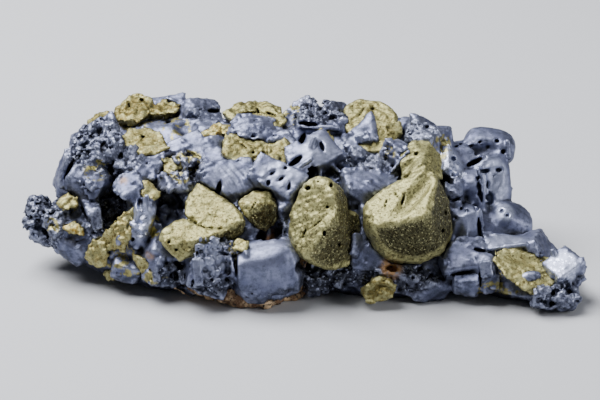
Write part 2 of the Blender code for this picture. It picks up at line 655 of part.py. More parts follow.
def add_object(name, solid, finish):
    """Put a solid in the scene at its real size."""
    bmesh.ops.scale(solid, vec=[METRES_PER_MM] * 3, verts=solid.verts)
    piece = plain_object(name, solid)
    piece.data.materials.append(finish)
    bpy.context.scene.collection.objects.link(piece)
    return piece


def main():
    clear_scene()
    galena_finish = material("galena", GALENA_FINISH)
    chalcopyrite_finish = material("chalcopyrite", CHALCOPYRITE_FINISH)
    rock_finish = material("rock", ROCK_FINISH)
    add_object("galena_mass", galena(), galena_finish)
    add_object("rock_rim", triangulated(hull(rock_corners())), rock_finish)
    for name in CRYSTALS:
        add_object("chalcopyrite_" + name, chalcopyrite(name), chalcopyrite_finish)


main()
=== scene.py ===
"""The looks of a chalcopyrite and galena specimen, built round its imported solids.

Each mineral piece starts from its solid. The solid becomes a field of distances on a fine grid, in
millimetres, in which pits, pores, cracks, small crystals and grain are modelled. Then the field's
surface becomes the mesh that is shown.
"""

import itertools
import math
import random
from types import SimpleNamespace

import bmesh
import bpy
import numpy as np
from mathutils import Matrix, Vector
from mathutils.bvhtree import BVHTree


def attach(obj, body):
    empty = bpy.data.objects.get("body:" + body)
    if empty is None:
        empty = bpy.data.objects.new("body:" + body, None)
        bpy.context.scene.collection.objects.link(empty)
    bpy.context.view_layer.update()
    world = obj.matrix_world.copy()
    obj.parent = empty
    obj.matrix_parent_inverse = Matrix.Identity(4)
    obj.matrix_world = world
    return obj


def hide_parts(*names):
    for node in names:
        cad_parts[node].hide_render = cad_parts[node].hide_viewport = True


bl_info = {
    "name": "Chalcopyrite Specimen",
    "version": (1, 0, 0),
    "blender": (4, 5, 0),
    "location": "View3D > Sidebar > Specimen",
    "description": "Builds a galena and chalcopyrite hand specimen with etched and grainy surfaces",
    "category": "Add Mesh",
}

MM = 0.001

# How far the random point of a lattice cell stays from the cell's walls, as a share of the cell
CELL_MARGIN = 0.25

# The whole numbers that mix a cell's place and the seed into its random numbers
CELL_MIXERS = (73856093, 19349663, 83492791)
SEED_MIXER = 2654435
CHANCE_STEP = (1103515245, 12345, 7919)
CHANCE_MASK = 0x7FFFFFFF
CHANCE_TOP = 0xFFFF

# What brings soft noise up to a range from about -1 to 1
NOISE_GAIN = 1.6

# How steeply a zone fades at its rim: it holds in full up to two thirds of its reach
RIM_STEEPNESS = 3.0

# How far from flat two faces of a cut may be when they are merged
FLAT = math.radians(0.1)

# How far a distance is looked for, in steps of the coarse grid, and the value far from everything
SAMPLE_REACH = 3.0
FAR = 9.0

# How high above the field an upright line starts, in millimetres
START_ABOVE = 5.0

# How far round a form the field can change by its fillet or lip, in millimetres
BLEND_REACH = 2.0

# Sideways shifts of an upright line that meets an edge, tried in turn, and how far it goes on past a face
NUDGES = (0.0137, -0.0213, 0.0371, -0.0449, 0.0593)
PAST_A_FACE = 0.001

# How far round a point the stone is counted when its hollowness is measured, in millimetres. The hollowness
# places painted shade in hollows and painted highlights on exposed edges
CROWDING_REACH = 1.5

# The depth of the small facets' relief in millimetres: one metre, because their heights come in metres
FACET_DEPTH = 1000.0

# How many grid points round each one are averaged where the etched galena is soft
SOFT_REACH = 3

# How far each mineral grows into the seams round the solids, in millimetres
SEAM_FILL = 0.27

# How far a face may look up and still get painted shade as an underside
UNDER_FROM = 0.2

# Where the galena is parted, so that no piece of its mesh is too heavy
GALENA_CUTS = (-36.0, -4.0, 34.0)

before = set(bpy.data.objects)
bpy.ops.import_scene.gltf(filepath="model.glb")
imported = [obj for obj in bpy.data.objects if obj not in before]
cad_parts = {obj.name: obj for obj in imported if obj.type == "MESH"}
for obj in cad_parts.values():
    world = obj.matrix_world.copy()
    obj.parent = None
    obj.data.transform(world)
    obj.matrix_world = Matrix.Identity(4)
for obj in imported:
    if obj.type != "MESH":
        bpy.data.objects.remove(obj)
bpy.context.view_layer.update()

# The view from the front: places below are how far across and up in it, in millimetres from its centre
VIEW_ELEVATION = math.radians(25)
VIEW_DISTANCE = 800.0
VIEW_CENTRE = Vector((-0.9, 0.0, 19.8))
VIEW_WIDTH = 162.0
SIN_VIEW = math.sin(VIEW_ELEVATION)
COS_VIEW = math.cos(VIEW_ELEVATION)
TO_VIEWER = Vector((0.0, -COS_VIEW, SIN_VIEW))
VIEW_UP = Vector((0.0, SIN_VIEW, COS_VIEW))
EYE = VIEW_CENTRE + TO_VIEWER * VIEW_DISTANCE


def on_view(across, up):
    """The point of the view's own plane at this place."""
    return VIEW_CENTRE + Vector((across, 0.0, 0.0)) + VIEW_UP * up


def search_tree(node):
    """The solid of a node as a search tree, in millimetres."""
    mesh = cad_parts[node].data
    points = [vert.co / MM for vert in mesh.vertices]
    return BVHTree.FromPolygons(points, [tuple(face.vertices) for face in mesh.polygons])


TREES = {node: search_tree(node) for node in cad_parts}


def landed(across, up, node):
    """Where the front view meets a node at this place, and the surface's own direction there."""
    ray = (on_view(across, up) - EYE).normalized()
    hit, normal, _, _ = TREES[node].ray_cast(EYE, ray)
    if hit is None:
        raise RuntimeError(f"nothing of {node} shows at {across}, {up}")
    return hit, normal


# Fields of distance


def blend_rows(count, spacing, chance):
    """How each grid line mixes the coarse lattice lines on either side of it, smoothly."""
    start = chance.random()
    place = np.arange(count) / spacing + start
    low = np.floor(place).astype(int)
    share = place - low
    share = share * share * (3 - 2 * share)
    rows = np.zeros((count, low[-1] + 2), np.float32)
    rows[np.arange(count), low] = 1 - share
    rows[np.arange(count), low + 1] = share
    return rows


class Field:
    """Distances to a surface on a regular grid, in millimetres, negative inside."""

    def __init__(self, low, high, step):
        self.step = step
        self.low = np.array(low, float)
        self.count = np.ceil((np.array(high) - self.low) / step).astype(int) + 1
        self.values = np.full(self.count, FAR, np.float32)

    def axis(self, which, span=None):
        first, last = span or (0, self.count[which])
        return (self.low[which] + np.arange(first, last) * self.step).astype(np.float32)

    def fill_from(self, tree, coarse_step):
        """Fill the grid with the distance to a closed solid, sampled coarsely and blended."""
        coarse = Field(self.low, self.low + self.count * self.step + coarse_step, coarse_step)
        reach = SAMPLE_REACH * coarse_step
        zs = coarse.axis(2)
        for i, x in enumerate(coarse.axis(0)):
            for j, y in enumerate(coarse.axis(1)):
                crossings = column_crossings(tree, float(x), float(y), float(zs[-1]) + START_ABOVE)
                inside = (np.searchsorted(crossings, zs) % 2) == 1
                for k, z in enumerate(zs):
                    near = tree.find_nearest((x, y, z), reach)
                    distance = reach if near[3] is None else near[3]
                    coarse.values[i, j, k] = -distance if inside[k] else distance
        blended = coarse.values
        for which in range(3):
            fine = np.arange(self.count[which])
            rows = np.zeros((self.count[which], coarse.count[which]), np.float32)
            place = fine * self.step / coarse_step
            below = np.floor(place).astype(int)
            rows[fine, below] = 1 - (place - below)
            rows[fine, np.minimum(below + 1, coarse.count[which] - 1)] += place - below
            blended = np.moveaxis(np.tensordot(rows, blended, axes=(1, which)), 0, which)
        self.values = blended.astype(np.float32)

    def near(self, middle, radius):
        """The part of the grid round a point: its slices and its coordinates from that point."""
        spans = []
        for which in range(3):
            first = int(math.floor((middle[which] - radius - self.low[which]) / self.step))
            last = int(math.ceil((middle[which] + radius - self.low[which]) / self.step)) + 1
            spans.append((max(first, 0), min(max(last, 0), self.count[which])))
        if any(first >= last for first, last in spans):
            return None, None
        x, y, z = [self.axis(which, spans[which]) - middle[which] for which in range(3)]
        offset = np.stack(np.meshgrid(x, y, z, indexing="ij"), axis=-1)
        return tuple(slice(*span) for span in spans), offset

    def add(self, form, blend=0.4):
        """Grow a form onto the surface, with a fillet."""
        part, offset = self.near(form.middle, form.radius + BLEND_REACH)
        if part is not None:
            self.values[part] = smooth_least(self.values[part], form.distance(offset), blend)

    def cut(self, form, blend=0.3):
        """Cut a form out of the surface, with a rounded lip."""
        part, offset = self.near(form.middle, form.radius + BLEND_REACH)
        if part is not None:
            self.values[part] = -smooth_least(-self.values[part], form.distance(offset), blend)

    def noise(self, scale, seed):
        """Soft noise from about -1 to 1 over the whole grid, with features of this size."""
        chance = np.random.default_rng(seed)
        rows = [blend_rows(count, scale / self.step, chance) for count in self.count]
        lattice = chance.uniform(-1, 1, [row.shape[1] for row in rows]).astype(np.float32)
        for which in range(3):
            lattice = np.moveaxis(np.tensordot(rows[which], lattice, axes=(1, which)), 0, which)
        return lattice * NOISE_GAIN

    def cells(self, size, seed, band, metric, axes=None):
        """How far the nearest of random points is, in cell sizes, and that point's own random value.

        Both are worked out for the grid points in the band, and are 0 elsewhere.
        """
        where = np.nonzero(band)
        spin = random_turn(random.Random(seed)) if axes is None else axes
        place = [self.low[a] + where[a] * self.step for a in range(3)]
        place = [(way[0] * place[0] + way[1] * place[1] + way[2] * place[2]) / size for way in spin]
        home = [np.floor(p - 0.5).astype(np.int64) for p in place]
        nearest = np.full(len(where[0]), FAR, np.float32)
        owner = np.zeros(len(where[0]), np.float32)
        for step in itertools.product((0, 1), repeat=3):
            cell = [home[a] + step[a] for a in range(3)]
            chances = lattice_chance(cell, seed)
            gaps = [np.abs(c + CELL_MARGIN + (1 - 2 * CELL_MARGIN) * chance - p)
                    for c, chance, p in zip(cell, chances, place)]
            if metric == "cube":
                distance = np.maximum(np.maximum(gaps[0], gaps[1]), gaps[2])
            else:
                distance = np.sqrt(gaps[0] ** 2 + gaps[1] ** 2 + gaps[2] ** 2)
            closer = distance < nearest
            nearest = np.where(closer, distance, nearest)
            owner = np.where(closer, sum(chances) % 1.0, owner)
        gap_grid = np.zeros(self.values.shape, np.float32)
        owner_grid = np.zeros(self.values.shape, np.float32)
        gap_grid[where] = nearest
        owner_grid[where] = owner
        return gap_grid, owner_grid

    def weight(self, zones):
        """How strongly the zones hold at each grid point: their own strength, fading to 0 at their rims."""
        total = np.zeros(self.values.shape, np.float32)
        for middle, radii, strength in zones:
            part, offset = self.near(middle, max(radii))
            if part is None:
                continue
            reach = np.sqrt(((offset / np.array(radii, np.float32)) ** 2).sum(axis=-1))
            held = np.clip((1.0 - reach) * RIM_STEEPNESS, 0, 1) * strength
            total[part] = np.maximum(total[part], held)
        return total

    def sample(self, values, points):
        """A grid's values at any points, blended between grid points."""
        place = (points - self.low) / self.step
        low = np.clip(np.floor(place).astype(int), 0, self.count - 2)
        share = (place - low).astype(np.float32)
        total = np.zeros(len(points), np.float32)
        for corner in itertools.product((0, 1), repeat=3):
            mix = np.ones(len(points), np.float32)
            for which in range(3):
                mix *= share[:, which] if corner[which] else 1 - share[:, which]
            total += mix * values[tuple((low + corner).T)]
        return total

    def crowding(self, radius):
        """How full of stone the space round each grid point is, from 0 to 1."""
        filled = (self.values < 0).astype(np.float32)
        reach = max(int(radius / self.step), 1)
        for which in range(3):
            for _ in range(2):
                filled = box_average(filled, reach, which)
        return filled


def box_average(values, reach, which):
    """The average over a run of grid points along one axis."""
    padding = [(0, 0)] * 3
    padding[which] = (reach + 1, reach)
    sums = np.cumsum(np.pad(values, padding, mode="edge"), axis=which, dtype=np.float64)
    count = values.shape[which]
    upper = np.take(sums, range(2 * reach + 1, 2 * reach + 1 + count), axis=which)
    lower = np.take(sums, range(0, count), axis=which)
    return ((upper - lower) / (2 * reach + 1)).astype(np.float32)


def lattice_chance(cell, seed):
    """Three random numbers from 0 to 1 for each cell of a lattice, always the same for the same cell."""
    x, y, z = [place * mixer for place, mixer in zip(cell, CELL_MIXERS)]
    number = x ^ y ^ z ^ (seed * SEED_MIXER)
    factor, start, change = CHANCE_STEP
    result = []
    for which in range(3):
        number = (number * factor + start + which * change) & CHANCE_MASK
        number ^= number >> 13
        result.append((number & CHANCE_TOP) / CHANCE_TOP)
    return result


def smooth_least(a, b, blend):
    """The lesser of two fields, with a fillet where they meet."""
    if blend <= 0.0:
        return np.minimum(a, b)
    near = np.clip(blend - np.abs(a - b), 0, None) / blend
    return np.minimum(a, b) - near * near * blend * 0.25


def column_crossings(tree, x, y, top):
    """The heights at which an upright line crosses a solid, lowest first, as an even number of them."""
    for nudge in NUDGES:
        crossings = []
        start = Vector((x + nudge, y + nudge * 0.7, top))
        while True:
            hit, normal, _, _ = tree.ray_cast(start, Vector((0.0, 0.0, -1.0)))
            if hit is None:
                break
            crossings.append((hit.z, normal.z))
            start = hit - Vector((0.0, 0.0, PAST_A_FACE))
        fits = all((facing > 0) == (which % 2 == 0) for which, (_, facing) in enumerate(crossings))
        if fits and len(crossings) % 2 == 0:
            break
    return np.array([height for height, _ in crossings[::-1]])


class Form:
    """A rounded box or an ellipsoid to add to a field or cut from it."""

    def __init__(self, middle, half, axes, rounding=None):
        self.middle = np.array(middle, float)
        self.half = np.array(half, np.float32)
        self.axes = np.array(axes, np.float32)
        self.rounding = rounding
        self.radius = float(np.linalg.norm(self.half))

    def distance(self, offset):
        along = [offset[..., 0] * a[0] + offset[..., 1] * a[1] + offset[..., 2] * a[2] for a in self.axes]
        if self.rounding is None:
            x, y, z = [part / half for part, half in zip(along, self.half)]
            return (np.sqrt(x * x + y * y + z * z) - 1.0) * float(self.half.min())
        x, y, z = [np.abs(part) - (half - self.rounding) for part, half in zip(along, self.half)]
        outside = np.sqrt(np.maximum(x, 0) ** 2 + np.maximum(y, 0) ** 2 + np.maximum(z, 0) ** 2)
        return outside + np.minimum(np.maximum(np.maximum(x, y), z), 0) - self.rounding


def net_points(values):
    """Where the surface lies in each grid cell that it passes through: the points and their numbers."""
    inside = values < 0
    nx, ny, nz = values.shape
    corners = list(itertools.product((0, 1), repeat=3))
    total = np.zeros((nx - 1, ny - 1, nz - 1), np.int8)
    for x, y, z in corners:
        total += inside[x:nx - 1 + x, y:ny - 1 + y, z:nz - 1 + z]
    active = (total > 0) & (total < 8)
    cells = np.argwhere(active)
    numbers = np.full(active.shape, -1, np.int64)
    numbers[active] = np.arange(len(cells))
    at_corner = {corner: values[tuple((cells + corner).T)] for corner in corners}
    place = np.zeros((len(cells), 3), np.float32)
    hits = np.zeros(len(cells), np.float32)
    for start, which in itertools.product(corners, range(3)):
        if start[which]:
            continue
        end = tuple(1 if axis == which else start[axis] for axis in range(3))
        a, b = at_corner[start], at_corner[end]
        crossed = (a < 0) != (b < 0)
        share = np.where(crossed, a / np.where(crossed, a - b, 1.0), 0.0)
        for axis in range(3):
            place[:, axis] += crossed * (share if axis == which else start[axis])
        hits += crossed
    return cells + place / hits[:, None], numbers


def faces_round(inside, numbers):
    """Four-sided faces round each grid edge that leaves the form."""
    faces = []
    for which in range(3):
        others = [axis for axis in range(3) if axis != which]
        near = [slice(1, -1)] * 3
        far = [slice(1, -1)] * 3
        near[which] = slice(0, -1)
        far[which] = slice(1, None)
        here, there = inside[tuple(near)], inside[tuple(far)]
        for mask, leaves in ((here & ~there, True), (~here & there, False)):
            edge = np.argwhere(mask)
            edge[:, others] += 1
            ring = []
            for back in ((1, 1), (0, 1), (0, 0), (1, 0)):
                cell = edge.copy()
                cell[:, others] -= back
                ring.append(numbers[tuple(cell.T)])
            quad = np.stack(ring, axis=-1)
            if leaves == (which == 1):
                quad = quad[:, ::-1]
            faces.append(quad)
    return np.concatenate(faces)


class Surface:
    """The surface of a field, which can be taken whole or as closed stretches that meet without a seam."""

    def __init__(self, field):
        self.field = field
        self.inside = field.values < 0
        self.grid_points, self.numbers = net_points(field.values)
        self.directions = vertex_directions(self.grid_points, faces_round(self.inside, self.numbers))

    def stretch(self, first, last):
        """Points, faces, directions and which points are on a cut, from one grid plane to another."""
        inside = self.inside.copy()
        inside[:first] = False
        inside[last:] = False
        nx, ny, nz = inside.shape
        total = np.zeros((nx - 1, ny - 1, nz - 1), np.int8)
        for x, y, z in itertools.product((0, 1), repeat=3):
            total += inside[x:nx - 1 + x, y:ny - 1 + y, z:nz - 1 + z]
        active = (total > 0) & (total < 8)
        cells = np.argwhere(active)
        numbers = np.full(active.shape, -1, np.int64)
        numbers[active] = np.arange(len(cells))
        known = self.numbers[active]
        on_cut = known < 0
        points = np.where(on_cut[:, None], cells + 0.5, self.grid_points[known])
        directions = np.where(on_cut[:, None], (1.0, 0.0, 0.0), self.directions[known])
        return points * self.field.step + self.field.low, faces_round(inside, numbers), directions, on_cut


def mesh_object(name, points, faces, directions, on_cut, attributes):
    """A smooth-shaded object from points in millimetres and four-sided faces."""
    mesh = bpy.data.meshes.new(name)
    mesh.vertices.add(len(points))
    mesh.vertices.foreach_set("co", (points * MM).astype(np.float32).ravel())
    mesh.loops.add(faces.size)
    mesh.loops.foreach_set("vertex_index", faces.astype(np.int32).ravel())
    mesh.polygons.add(len(faces))
    mesh.polygons.foreach_set("loop_start", np.arange(0, faces.size, 4, dtype=np.int32))
    mesh.update(calc_edges=True)
    mesh.validate()
    for label, values in attributes.items():
        layer = mesh.attributes.new(label, "FLOAT", "POINT")
        layer.data.foreach_set("value", values.astype(np.float32))
    facing = mesh.attributes.new("facing", "FLOAT_VECTOR", "POINT")
    facing.data.foreach_set("vector", directions.astype(np.float32).ravel())
    if on_cut.any():
        simplify_cuts(mesh, on_cut)
    mesh.shade_smooth()
    normals = np.zeros(len(mesh.vertices) * 3, np.float32)
    mesh.attributes["facing"].data.foreach_get("vector", normals)
    mesh.attributes.remove(mesh.attributes["facing"])
    mesh.normals_split_custom_set_from_vertices(normals.reshape(-1, 3))
    piece = bpy.data.objects.new(name, mesh)
    bpy.context.scene.collection.objects.link(piece)
    return piece


def simplify_cuts(mesh, on_cut):
    """Merge the small faces of the flat cuts, which don't show.

    The edges are kept in the order they are met, so that each run gives the same faces.
    """
    form = bmesh.new()
    form.from_mesh(mesh)
    form.verts.ensure_lookup_table()
    inner = [form.verts[int(i)] for i in np.nonzero(on_cut)[0]]
    edges = dict.fromkeys(edge for vert in inner for edge in vert.link_edges)
    bmesh.ops.dissolve_limit(form, verts=inner, edges=list(edges), angle_limit=FLAT)
    bmesh.ops.triangulate(form, faces=[face for face in form.faces if len(face.verts) > 4])
    form.to_mesh(mesh)
    form.free()


# Materials


def linear(code):
    """The linear colour of an sRGB hex code."""
    parts = [int(code[i:i + 2], 16) / 255 for i in (1, 3, 5)]
    return tuple(p / 12.92 if p <= 0.04045 else ((p + 0.055) / 1.055) ** 2.4 for p in parts) + (1.0,)


def new_material(name):
    """A material with only its Principled node."""
    surface = bpy.data.materials.new(name)
    surface.use_nodes = True
    return surface


def add_node(tree, kind, settings=None, **links):
    """Add a node with its settings and links, and give its outputs."""
    made = tree.nodes.new(kind)
    for label, value in (settings or {}).items():
        setattr(made, label, value)
    join(tree, made, links)
    return made.outputs


def join(tree, made, links):
    """Link or set a node's inputs. Their names have _ for spaces, or are i and the input's number."""
    for label, value in links.items():
        socket = made.inputs[int(label[1:]) if label[1:].isdigit() else label.replace("_", " ")]
        if isinstance(value, bpy.types.NodeSocket):
            tree.links.new(value, socket)
        else:
            socket.default_value = value


def per_metre(millimetres):
    """The texture scale for features of this size."""
    return 1.0 / (millimetres * MM)


# The kinds and settings that many nodes share
MATH = "ShaderNodeMath"
VECTOR = "ShaderNodeVectorMath"
TIMES = {"operation": "MULTIPLY", "use_clamp": True}
TIMES_PLUS = {"operation": "MULTIPLY_ADD"}
GREATER = {"operation": "MAXIMUM"}
SMOOTHLY = {"interpolation_type": "SMOOTHSTEP"}
COLOURS = {"data_type": "RGBA"}


def patterns(tree, noises, stored):
    """What a material is made from, by name: the place on the surface, its noise, and its mesh's values.

    A noise has its size in millimetres, its detail and its roughness.
    """
    look = SimpleNamespace(where=add_node(tree, "ShaderNodeTexCoord")["Object"])
    for label, (size, detail, roughness) in noises.items():
        grain = {"Scale": per_metre(size), "Detail": detail, "Roughness": roughness}
        setattr(look, label, add_node(tree, "ShaderNodeTexNoise", None, Vector=look.where, **grain)[0])
    for label in stored:
        setattr(look, label, add_node(tree, "ShaderNodeAttribute", {"attribute_name": label})["Fac"])
    return look


def product(tree, *factors):
    """Factors multiplied. A factor (value, low, high) goes smoothly from 0 at low to 1 at high."""
    total = None
    for factor in factors:
        if isinstance(factor, tuple):
            value, low, high = factor
            limits = {"From_Min": low, "From_Max": high}
            factor = add_node(tree, "ShaderNodeMapRange", SMOOTHLY, Value=value, **limits)[0]
        total = factor if total is None else add_node(tree, MATH, TIMES, i0=total, i1=factor)[0]
    return total


def painted(tree, colour, coats):
    """A colour under coats of others. Each coat has its colour and the factors of how much it covers."""
    for coat, *factors in coats:
        coat = linear(coat) if isinstance(coat, str) else coat
        covered = product(tree, *factors)
        colour = add_node(tree, "ShaderNodeMix", COLOURS, i0=covered, i6=colour, i7=coat)[2]
    return colour


def facets(tree, where, size):
    """Small flat facets, each tilted its own way: their heights, and a random value for each."""
    square = {"distance": "CHEBYCHEV"}
    less = {"operation": "SUBTRACT"}
    cell = add_node(tree, "ShaderNodeTexVoronoi", square, Vector=where, Scale=per_metre(size))
    tilt = add_node(tree, VECTOR, less, i0=cell["Color"], i1=(0.5, 0.5, 0.5))[0]
    away = add_node(tree, VECTOR, less, i0=where, i1=cell["Position"])[0]
    height = add_node(tree, VECTOR, {"operation": "DOT_PRODUCT"}, i0=tilt, i1=away)["Value"]
    chance = add_node(tree, "ShaderNodeSeparateColor", None, Color=cell["Color"])[0]
    return height, chance


def finished(surface, layers, **inputs):
    """The material with its shader's inputs and relief joined up.

    The relief is heights over each other, each with its depth in millimetres and its strength.
    """
    tree = surface.node_tree
    for height, depth, strength in layers:
        below = {"Normal": inputs["Normal"]} if "Normal" in inputs else {}
        bump = {"Height": height, "Distance": depth * MM, "Strength": strength, **below}
        inputs["Normal"] = add_node(tree, "ShaderNodeBump", None, **bump)[0]
    join(tree, tree.nodes["Principled BSDF"], inputs)
    return surface


# Noise in the materials: its size in millimetres, its detail and its roughness. Grain under 0.3 mm doesn't
# show in the render, so the finest noise and facets are drawn coarser than the real frosting and tarnish.
GALENA_NOISE = {
    "patches": (7.0, 3.0, 0.55),
    "shreds": (2.6, 5.0, 0.65),
    "mottle": (1.6, 6.0, 0.65),
    "grit": (0.35, 3.0, 0.60),
}
CHALCOPYRITE_NOISE = {
    "patches": (5.0, 3.0, 0.55),
    "mottle": (1.3, 6.0, 0.70),
    "specks": (0.62, 4.0, 0.75),
}
ROCK_NOISE = {
    "patches": (5.0, 4.0, 0.55),
    "mottle": (1.1, 6.0, 0.70),
    "grit": (0.40, 3.0, 0.60),
}

# Sizes of facets, grains and pits in millimetres, and how places are squeezed for pits taller than wide
LARGE_FACET = 1.2
SMALL_FACET = 0.5
GRAIN_FACET = 0.36
TINY_PIT = 0.55
PIT_SHAPE = (1.0, 1.0, 0.55)

# Both sulphides reflect almost like clean metals, and rust hardly does
SULPHIDE_METALLIC = 0.88
RUST_METALLIC = 0.08


def galena_material(base):
    """Galena, a grey lead sulphide, etched and frosted by weather.

    The eye sees the gloss of a dulled metal on smooth slabs, dark grit where it is rough, brassy films
    and brown stains. Its colour holds painted light too: painted silvery glints where fresh cleavage
    shows, painted highlights on exposed edges and on the bright zones, and painted shade in hollows, on
    undersides and in the shaded zones.
    """
    surface = new_material("etched galena")
    tree = surface.node_tree
    look = patterns(tree, GALENA_NOISE, ("hollow", "silver", "rough", "under", "coat", "film", "rust"))
    small, chance = facets(tree, look.where, SMALL_FACET)
    large, _ = facets(tree, look.where, LARGE_FACET)
    coarse = product(tree, (look.rough, 0.15, 0.75))
    gritty = add_node(tree, MATH, TIMES_PLUS, i0=coarse, i1=0.65, i2=0.35)[0]
    # Painted shade: faces that look down, and the zones where shade is painted, get a near black
    shaded = product(tree, look.under, 0.90)
    painted_shade = add_node(tree, MATH, GREATER, i0=shaded, i1=look.coat)[0]
    # Painted glints: some small facets get a bright colour, where fresh cleavage shows and where it is rough
    glint_share = add_node(tree, MATH, GREATER, i0=look.silver, i1=product(tree, coarse, 0.42))[0]
    glint = product(tree, (chance, 0.80, 0.93), glint_share)
    # Painted highlight on exposed edges, where little stone lies round a point
    edge = product(tree, (look.hollow, 0.45, 0.28), (look.mottle, 0.62, 0.40), 0.38)
    # The painted highlights and glints, with the paler fresh cleavage of the bright zones
    bright = add_node(tree, MATH, GREATER, i0=edge, i1=glint)[0]
    bright = add_node(tree, MATH, GREATER, i0=bright, i1=product(tree, look.silver, 0.7))[0]
    brass = painted(tree, linear("#a09856"), [("#6f6a3d", (look.mottle, 0.40, 0.62))])
    rust = product(tree, look.rust, (look.mottle, 0.34, 0.46))
    colour = painted(tree, base, [
        ("#7f84a0", (look.patches, 0.36, 0.64)),
        ("#505568", (look.mottle, 0.42, 0.70)),
        ("#40434f", coarse, 0.62),
        ("#2b2d36", (look.grit, 0.56, 0.68), gritty),
        # Painted shade on undersides and in the shaded zones
        ("#1a1c22", painted_shade),
        # Painted shade in hollows and crevices
        ("#0b0c0f", (look.hollow, 0.50, 0.70), 0.95),
        # Painted highlights and glints, and paler fresh cleavage
        ("#b8bfd9", bright),
        (brass, (look.shreds, 0.50, 0.55), (look.film, 0.1, 0.5), 0.85),
        ("#9c774e", rust),
    ])
    stained = RUST_METALLIC - SULPHIDE_METALLIC
    metallic = add_node(tree, MATH, TIMES_PLUS, i0=rust, i1=stained, i2=SULPHIDE_METALLIC)[0]
    frosted = add_node(tree, MATH, TIMES_PLUS, i0=look.mottle, i1=0.22, i2=0.40)[0]
    roughness = add_node(tree, MATH, TIMES_PLUS, i0=glint, i1=-0.26, i2=frosted)[0]
    layers = [
        (look.grit, 0.05, 0.45),
        (look.mottle, 0.22, 0.35),
        (small, FACET_DEPTH, add_node(tree, MATH, TIMES_PLUS, i0=coarse, i1=0.34, i2=0.03)[0]),
        (large, FACET_DEPTH, add_node(tree, MATH, TIMES_PLUS, i0=coarse, i1=0.16, i2=0.03)[0]),
    ]
    return finished(surface, layers, Base_Color=colour, Metallic=metallic, Roughness=roughness)


def chalcopyrite_material(base):
    """Chalcopyrite, a brass-coloured copper iron sulphide, gone olive and matt as it tarnished.

    The eye sees pale khaki faces full of dark specks, a yellower metal where it is less tarnished, and
    almost black faces that sparkle where the surface is pitted. These are the faces turned from the light:
    their darkness is partly pits and partly painted shade, and the sparkles are painted glints. Painted
    shade also lies in the hollows and in the pits' cores, and a painted highlight on exposed edges.
    """
    surface = new_material("tarnished chalcopyrite")
    tree = surface.node_tree
    look = patterns(tree, CHALCOPYRITE_NOISE, ("hollow", "pitted", "tarnish", "brassy"))
    grains, chance = facets(tree, look.where, GRAIN_FACET)
    upright = add_node(tree, VECTOR, {"operation": "MULTIPLY"}, i0=look.where, i1=PIT_SHAPE)[0]
    pits = add_node(tree, "ShaderNodeTexVoronoi", None, Vector=upright, Scale=per_metre(TINY_PIT))["Distance"]
    # Painted glints on some grains, most on the faces turned from the light
    sparkling = add_node(tree, MATH, TIMES_PLUS, i0=look.pitted, i1=0.45, i2=0.18)[0]
    glint = product(tree, (chance, 0.80, 0.95), sparkling)
    colour = painted(tree, base, [
        ("#a3a070", (look.patches, 0.36, 0.66)),
        ("#7a7855", (look.mottle, 0.46, 0.72)),
        # Tarnish, partly painted shade on the low centre crystal
        ("#625e3a", look.tarnish),
        # Painted shade, and the dark of the pits, on the faces turned from the light
        ("#2e2f27", look.pitted, 0.80),
        ("#302e1c", (look.specks, 0.51, 0.58), 0.84),
        # Painted shade in the cores of the tiny pits
        ("#121310", (pits, 0.42, 0.20), look.pitted),
        # Painted shade in hollows and crevices
        ("#15150f", (look.hollow, 0.54, 0.76), 0.92),
        ("#a3822f", look.brassy, (look.mottle, 0.36, 0.60), 0.8),
        # Painted highlight on exposed edges, then the painted glints
        ("#bdba88", (look.hollow, 0.46, 0.34), (look.mottle, 0.60, 0.40), 0.5),
        ("#c2be8c", glint),
    ])
    layers = [
        (look.specks, 0.12, 0.8),
        (look.mottle, 0.30, 0.5),
        (pits, 0.6, look.pitted),
        (grains, FACET_DEPTH, add_node(tree, MATH, TIMES_PLUS, i0=look.pitted, i1=0.30, i2=0.10)[0]),
    ]
    inputs = {
        "Base_Color": colour,
        "Metallic": SULPHIDE_METALLIC,
        "Roughness": add_node(tree, MATH, TIMES_PLUS, i0=glint, i1=-0.30, i2=0.54)[0],
    }
    return finished(surface, layers, **inputs)


def rock_material(base):
    """Host rock: a rough weathered carbonate, stained brown and orange by iron.

    The eye sees matt tan grains, with dark dirt between them and paler grit on top.
    """
    surface = new_material("iron-stained host rock")
    tree = surface.node_tree
    look = patterns(tree, ROCK_NOISE, ())
    colour = painted(tree, base, [
        ("#6e5138", (look.patches, 0.44, 0.56)),
        ("#2b2420", (look.mottle, 0.50, 0.60)),
        ("#bfa78a", (look.grit, 0.56, 0.70), 0.6),
    ])
    layers = [(look.grit, 0.12, 0.8), (look.mottle, 0.5, 0.8)]
    return finished(surface, layers, Base_Color=colour, Roughness=0.88)


